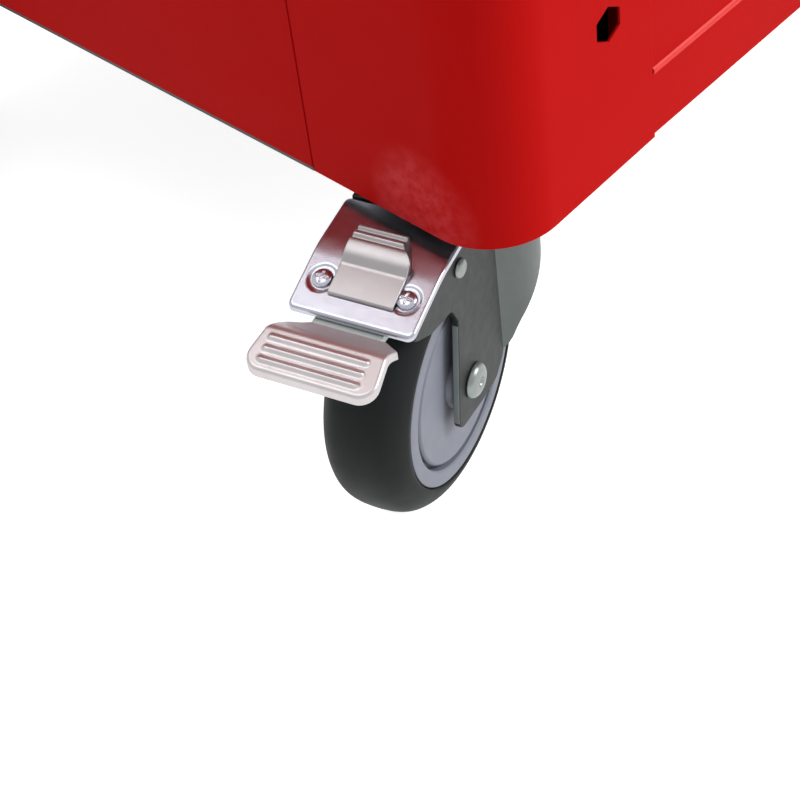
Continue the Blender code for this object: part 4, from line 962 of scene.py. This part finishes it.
bridgeLook = {
    "front": -0.0468, "back": 0.0085, "half": 0.0273, "sheet": 0.0012, "corner": 0.0030,
    "rearHeight": 0.1410, "steep": np.radians(16.4), "gentle": np.radians(4.0), "bendStart": -0.0125,
    "bendEnd": -0.0235, "roll": 0.0013, "flange": 0.0024, "side": -0.0020, "rivetSide": 0.0182, "rivetFront": -0.0321,
    "dimple": 0.0064, "dimpleDepth": 0.0006, "dimpleEase": 0.0012, "spine": 0.008,
}


def bridgeHeight(along):
    # the plate's crown: a gentle slope, a bend in which the slope grows evenly, and a steep slope
    look = bridgeLook
    gentle, steep = np.tan(look["gentle"]), np.tan(look["steep"])
    bend = look["bendStart"] - look["bendEnd"]
    turned = np.clip(look["bendStart"] - along, 0, bend)
    beyond = np.maximum(look["bendEnd"] - along, 0)
    return (look["rearHeight"] - gentle * (look["back"] - along)
            - (steep - gentle) * (turned ** 2 / (2 * bend) + beyond))


def bridgeShape():
    look = bridgeLook
    front, back, half = look["front"], look["back"], look["half"]
    ring = resample(rectangle((front, -half), (back, half), look["corner"], 6), 0.0008)

    def top(along, across):
        height = bridgeHeight(along)
        for side in (-1, 1):
            far = np.hypot(along - look["rivetFront"], across - side * look["rivetSide"])
            height = height - look["dimpleDepth"] * eased((look["dimple"] - far) / look["dimpleEase"])
        return height

    middle, rim = (front + back) / 2, rolledRim(look["flange"], look["roll"], 5)
    return pan(ring, ((middle, -look["spine"]), (middle, look["spine"])), rim, top, look["sheet"])


rivetLook = {"radius": 0.0043, "dome": 0.0017, "cross": 0.0026, "arm": 0.00055, "crossDepth": 0.0006,
             "armEase": 0.0003, "crossEase": 0.0004, "foot": 0.0008, "rings": 22, "sides": 64}


def rivetShape():
    # a dome with a shallow cross pressed in its middle
    look = rivetLook
    rings, sides = look["rings"], look["sides"]
    radius = np.linspace(0, look["radius"], rings)[:, None]
    turn = (np.arange(sides) * 2 * np.pi / sides)[None]
    x, y = radius * np.cos(turn), radius * np.sin(turn)
    height = look["dome"] * np.sqrt(np.clip(1 - (radius / look["radius"]) ** 2.6, 0, 1)) + 0 * turn
    arms = np.minimum(np.abs(x), np.abs(y))
    inside = np.clip((look["arm"] - arms) / look["armEase"], 0, 1)
    inside = inside * np.clip((look["cross"] - radius) / look["crossEase"], 0, 1)
    top = np.stack([x, y, height - look["crossDepth"] * inside], -1).reshape(-1, 3)
    points = np.concatenate([top, top[-sides:] - (0, 0, look["foot"])])
    return points, gridFaces(rings + 1, sides, wrapColumns=True) + [list(range(rings * sides, (rings + 1) * sides))]


leverLook = {
    "front": -0.0385, "low": -0.0152, "high": 0.0132, "edge": 0.0006, "middle": -0.0131, "narrow": 0.236,
    "narrowStart": 0.0172, "narrowEnd": 0.0262,
    "tab": ((0, 0.0003), (0, 0.0013), (0.0007, 0.0020), (0.0122, 0.0021)),
    "head": ((0.0122, 0.0021), (0.0134, 0.0023), (0.0144, 0.0030), (0.0160, 0.0041), (0.0190, 0.0051),
             (0.0220, 0.0055), (0.0233, 0.0045), (0.0248, 0.0055), (0.0264, 0.0053), (0.0277, 0.0040),
             (0.0290, 0.0050), (0.0302, 0.0044), (0.0309, 0.0028)),
    "under": ((0.0304, 0.0005), (0.0180, 0.0006), (0.0150, 0.0003)),
}


def leverShape():
    # a side view with smooth ridges, made as wide as the tab, and drawn in towards the head's end
    look = leverLook
    side = np.concatenate([np.array(look["tab"])[:-1], smooth(np.array(look["head"]), 6), np.array(look["under"])])
    along = look["front"] + side[:, 0]
    outline = np.stack([along, bridgeHeight(along) + side[:, 1]], -1)
    points, faces = upright(outline, look["low"], look["high"], look["edge"], 3)
    share = (points[:, 0] - look["front"] - look["narrowStart"]) / (look["narrowEnd"] - look["narrowStart"])
    points[:, 1] = look["middle"] + (points[:, 1] - look["middle"]) * (1 - look["narrow"] * eased(share))
    return points, faces


pedalLook = {
    "front": -0.0852, "shoulder": -0.0556, "rear": -0.0506, "frontHalf": 0.0278, "wider": 0.0018, "backHalf": 0.0237,
    "rearHalf": 0.0165, "corner": 0.0070, "backCorner": 0.004, "rearCorner": 0.0032, "height": 0.1385,
    "rearHeight": 0.1290, "slopeStart": -0.0672, "tilt": np.radians(14), "tiltAt": -0.0715, "roll": 0.0014,
    "lip": 0.0042, "sheet": 0.0016, "spine": 0.016, "spineForward": 0.004, "ribs": (-0.0710, -0.0759, -0.0808),
    "ribLow": -0.0215, "ribHigh": 0.0185, "ribHalf": 0.0019, "ribRise": 0.0009,
    "neckLow": -0.0175, "neckHigh": 0.0125,
    "neck": ((-0.0520, 0.1240, 0), (-0.0520, 0.1278, 0.001), (-0.0420, 0.1272, 0.002), (-0.0200, 0.1306, 0.002),
             (-0.0050, 0.1330, 0.001), (-0.0050, 0.1280, 0.001), (-0.0200, 0.1278, 0.002), (-0.0310, 0.1248, 0.002),
             (-0.0360, 0.1216, 0.001), (-0.0410, 0.1212, 0.001), (-0.0420, 0.1232, 0)),
}


def pedalShape():
    look = pedalLook
    front, shoulder, rear, corner_ = look["front"], look["shoulder"], look["rear"], look["corner"]
    ring = roundCorners([
        (front, -look["frontHalf"] - look["wider"], corner_), (shoulder, -look["backHalf"], look["backCorner"]),
        (rear, -look["rearHalf"], look["rearCorner"]), (rear, look["rearHalf"], look["rearCorner"]),
        (shoulder, look["backHalf"], look["backCorner"]), (front, look["frontHalf"], corner_)], steps=8)

    def top(along, across):
        # sloping up from the front, then down to the neck in a smooth hollow, with three ribs that end round
        share = np.clip((along - look["slopeStart"]) / (rear - look["slopeStart"]), 0, 1)
        height = look["height"] + np.tan(look["tilt"]) * (np.minimum(along, look["slopeStart"]) - look["tiltAt"])
        height = height - (look["height"] - look["rearHeight"]) * (0.2 * share + 0.8 * eased(share))
        for rib in look["ribs"]:
            beyond = np.maximum(np.maximum(look["ribLow"] - across, across - look["ribHigh"]), 0)
            far = np.hypot(along - rib, beyond) / look["ribHalf"]
            height = height + look["ribRise"] * (1 + np.cos(np.pi * np.clip(far, 0, 1))) / 2
        return height

    middle, rim = (front + shoulder) / 2 - look["spineForward"], rolledRim(look["lip"], look["roll"], 5)
    ends = ((middle, -look["spine"]), (middle, look["spine"]))
    return pan(resample(ring, 0.0009), ends, rim, top, look["sheet"], 0.0005)


def pedalArmShape():
    # the neck that carries the pad, and the barrel round the pin
    look = pedalLook
    neck = upright(roundCorners(look["neck"], steps=3), look["neckLow"], look["neckHigh"], 0.0004, 2)
    barrel = turnedShape([(0.0029, -0.0150), (0.0040, -0.0150), (0.0042, -0.0146), (0.0042, 0.0106),
                          (0.0040, 0.0110), (0.0029, 0.0110)], 32, closed=True)
    barrel = move(swap(barrel, [0, 2, 1]), -0.005, 0, 0.1305)
    return join(neck, barrel)


pinLook = {"along": -0.0028, "height": 0.1286, "shank": 0.0026, "face": 0.0246, "depth": 0.0021, "head": 0.0042}


def pinShape():
    look = pinLook
    face, head, depth = look["face"], look["head"], look["depth"]
    half = np.array([(0, face + depth), (head * 0.55, face + depth), (head * 0.88, face + depth * 0.7),
                     (head, face + depth * 0.25), (head, face), (look["shank"], face)])
    return move(swap(turnedShape(mirrored(half), 40), [0, 2, 1]), look["along"], 0, look["height"])


mountLook = {"plate": (0.084, 0.105), "corner": 0.008, "low": 0.1520, "high": 0.1548, "race": 0.033,
             "raceInner": 0.018, "raceFoot": 0.1423, "boltInset": 0.011, "boltHead": 0.0065, "boltDepth": 0.005}


def mountShape(race=True):
    look = mountLook
    x, y = look["plate"][0] / 2, look["plate"][1] / 2
    parts = [slab(rectangle((-x, -y), (x, y), look["corner"], 6), look["low"], look["high"], 0.0005, 2)]
    bolt = slab(hexagon(look["boltHead"]), look["low"] - look["boltDepth"], look["low"] + 0.0002, 0.0006, 2)
    for across in (look["boltInset"] - x, x - look["boltInset"]):
        for along in (look["boltInset"] - y, y - look["boltInset"]):
            parts.append(move(bolt, across, along, 0))
    if race:
        inner, wide, foot, high = look["raceInner"], look["race"], look["raceFoot"], look["low"] + 0.0004
        parts.append(turnedShape([(inner, high), (wide, high), (wide - 0.0004, high - 0.003),
                                  (wide - 0.002, foot + 0.002), (wide - 0.003, foot), (inner, foot)], 64, closed=True))
    return join(*parts)


kingpinLook = {"low": 0.1317, "high": 0.1547, "radius": 0.006, "head": 0.011, "headDepth": 0.006, "edge": 0.0006}


def kingpinShape():
    look = kingpinLook
    low, high, radius, head, edge = (look[key] for key in ("low", "high", "radius", "head", "edge"))
    foot = low + look["headDepth"]
    return turnedShape([(0, low), (head - 0.002, low), (head, low + 0.002), (head, foot - 0.0002), (radius, foot),
                        (radius, high - edge), (radius - edge, high), (0, high)], 48)


def swivelPlace(joint):
    # the caster's own axes: its origin is on the floor under the axle
    x, y = joint["pos_m"][:2]
    near = np.array(joint["axis"]) / np.linalg.norm(joint["axis"])
    along = np.array((-near[1], near[0], 0))
    return Place((x, y, 0), along, near, (0, 0, 1))


def makeSwivelCaster(name, end):
    joints = {joint["name"]: joint for joint in frame["joints"]}
    place = swivelPlace(joints["wheel_%s_left_spin" % end])
    brakePlace = Place(place.origin + place.axes[1] * bridgeLook["side"], *place.axes)
    swivel, pedal, release = "swivel_" + end, "pedal_" + end, "release_" + end
    makeWheel(name, place, "wheel_%s_left" % end, swivel)
    makePiece(name + "_forkSkin", place.put(forkShape()), forkZinc, swivel, [name + "_fork"])
    # the legs' cut edges in the lighter bolt zinc: a painted highlight
    makePiece(name + "_forkEdgeSkin", place.put(forkEdgeShape()), boltZinc, swivel)
    # the skirt in the lighter copy of the fork's zinc: painted light
    makePiece(name + "_forkSkirtSkin", place.put(forkSkirtShape()), skirtZincPaintedLight, swivel)
    makePiece(name + "_bridgeSkin", brakePlace.put(bridgeShape()), brightZinc, swivel, [name + "_brake_bridge"])
    makePiece(name + "_pedalSkin", place.put(pedalShape()), padZinc, pedal, [name + "_brake_pedal"])
    # the neck in the lightened zinc: painted light against the shade under the plate
    makePiece(name + "_pedalArmSkin", place.put(pedalArmShape()), armZincPaintedLight, pedal)
    makePiece(name + "_leverSkin", place.put(leverShape()), leverZinc, release, [name + "_release_lever"])
    makePiece(name + "_pinSkin", place.put(pinShape()), boltZinc, swivel, [name + "_brake_pin"])
    tilt = np.arctan((bridgeHeight(-0.031) - bridgeHeight(-0.033)) / 0.002)
    along = place.axes[0] * np.cos(tilt) + place.axes[2] * np.sin(tilt)
    up = place.axes[2] * np.cos(tilt) - place.axes[0] * np.sin(tilt)
    front, foot = bridgeLook["rivetFront"], bridgeLook["dimpleDepth"] - 0.0003
    for label, side in (("near", -1), ("far", 1)):
        local = (front, side * bridgeLook["rivetSide"], bridgeHeight(front) - foot)
        seat = Place(np.array(local) @ place.axes + brakePlace.origin, along, place.axes[1], up)
        makePiece("%s_rivet_%sSkin" % (name, label), seat.put(rivetShape()), brightZinc, swivel,
                  ["%s_rivet_%s" % (name, label)])
    mount = Place((*joints["swivel_%s_turn" % end]["pos_m"][:2], 0))
    makePiece(name + "_mountSkin", mount.put(mountShape()), galvanised, "cabinet", [name + "_mount_plate"])
    makePiece(name + "_kingpinSkin", mount.put(kingpinShape()), forkZinc, "cabinet", [name + "_kingpin"])


fixedLook = {"leg": ((-0.0375, 0.1528, 0), (0.0375, 0.1528, 0), (0.0310, 0.1300, 0.006), (0.0150, 0.0575, 0.008),
                     (0, 0.0440, 0.014), (-0.0150, 0.0575, 0.008), (-0.0310, 0.1300, 0.006)),
             "inner": 0.0213, "outer": 0.0243}


def makeFixedCaster(name, end):
    joint = next(joint for joint in frame["joints"] if joint["name"] == "wheel_%s_right_spin" % end)
    place = Place((*joint["pos_m"][:2], 0), (1, 0, 0), (0, -1, 0), (0, 0, 1))
    makeWheel(name, place, "wheel_%s_right" % end, "cabinet")
    legs = bothSides(roundCorners(fixedLook["leg"], steps=6), fixedLook["inner"], fixedLook["outer"], 0.00045, 3)
    makePiece(name + "_forkSkin", place.put(join(mountShape(race=False), *legs)), forkZinc, "cabinet",
              [name + "_fork"])


for end in ("front", "rear"):
    makeSwivelCaster("caster_%s_left" % end, end)
    makeFixedCaster("caster_%s_right" % end, end)
print("casters made")


# stage: a pale floor and soft studio light

stage = {"floor": 30.0, "floorColour": (0.86, 0.86, 0.86), "sky": 0.47, "seen": 1.0, "lift": 0.80,
         "lamps": (
             {"name": "keyLamp", "place": (1.7, -2.3, 2.1), "aim": (0.0, 0.0, 0.3), "size": 1.5, "power": 77},
             {"name": "topLamp", "place": (-0.5, 0.7, 3.0), "aim": (-0.3, 0.0, 0.3), "size": 2.2, "power": 37},
         )}


def makeFloor():
    half = stage["floor"] / 2
    mesh = bpy.data.meshes.new("floor")
    mesh.from_pydata([(-half, -half, 0), (half, -half, 0), (half, half, 0), (-half, half, 0)], [], [(0, 1, 2, 3)])
    finish = Finish("floorPaint", {"Base Color": (*stage["floorColour"], 1), "Roughness": 0.9,
                                   "Emission Strength": stage["lift"]})
    rays = finish.add("ShaderNodeLightPath", {}, {}, "Is Camera Ray")
    glossy = finish.add("ShaderNodeLightPath", {}, {}, "Is Glossy Ray")
    finish.feed(finish.shader.inputs["Emission Color"], finish.blend(rays + glossy, (0, 0, 0), (1, 1, 1)))
    mesh.materials.append(finish.material)
    addObject("floor", mesh)


def makeSky():
    world = bpy.data.worlds.new("studio")
    bpy.context.scene.world = world
    world.use_nodes = True
    tree = world.node_tree
    paths = tree.nodes.new("ShaderNodeLightPath")
    background = tree.nodes["Background"]
    background.inputs["Color"].default_value = (1, 1, 1, 1)
    add = tree.nodes.new("ShaderNodeMath")
    add.operation = "ADD"
    add.use_clamp = True
    tree.links.new(paths.outputs["Is Camera Ray"], add.inputs[0])
    tree.links.new(paths.outputs["Is Glossy Ray"], add.inputs[1])
    scale = tree.nodes.new("ShaderNodeMath")
    scale.operation = "MULTIPLY_ADD"
    scale.inputs[1].default_value = stage["seen"] - stage["sky"]
    scale.inputs[2].default_value = stage["sky"]
    tree.links.new(add.outputs[0], scale.inputs[0])
    tree.links.new(scale.outputs[0], background.inputs["Strength"])


def makeLamp(lamp):
    light = bpy.data.lights.new(lamp["name"], "AREA")
    light.energy, light.size = lamp["power"], lamp["size"]
    item = addObject(lamp["name"], light)
    place, aim = Vector(lamp["place"]), Vector(lamp["aim"])
    item.matrix_world = Matrix.Translation(place) @ (aim - place).to_track_quat("-Z", "Y").to_matrix().to_4x4()


makeFloor()
makeSky()
for lamp in stage["lamps"]:
    makeLamp(lamp)
bpy.context.scene.view_settings.view_transform = "Standard"
print("stage made")
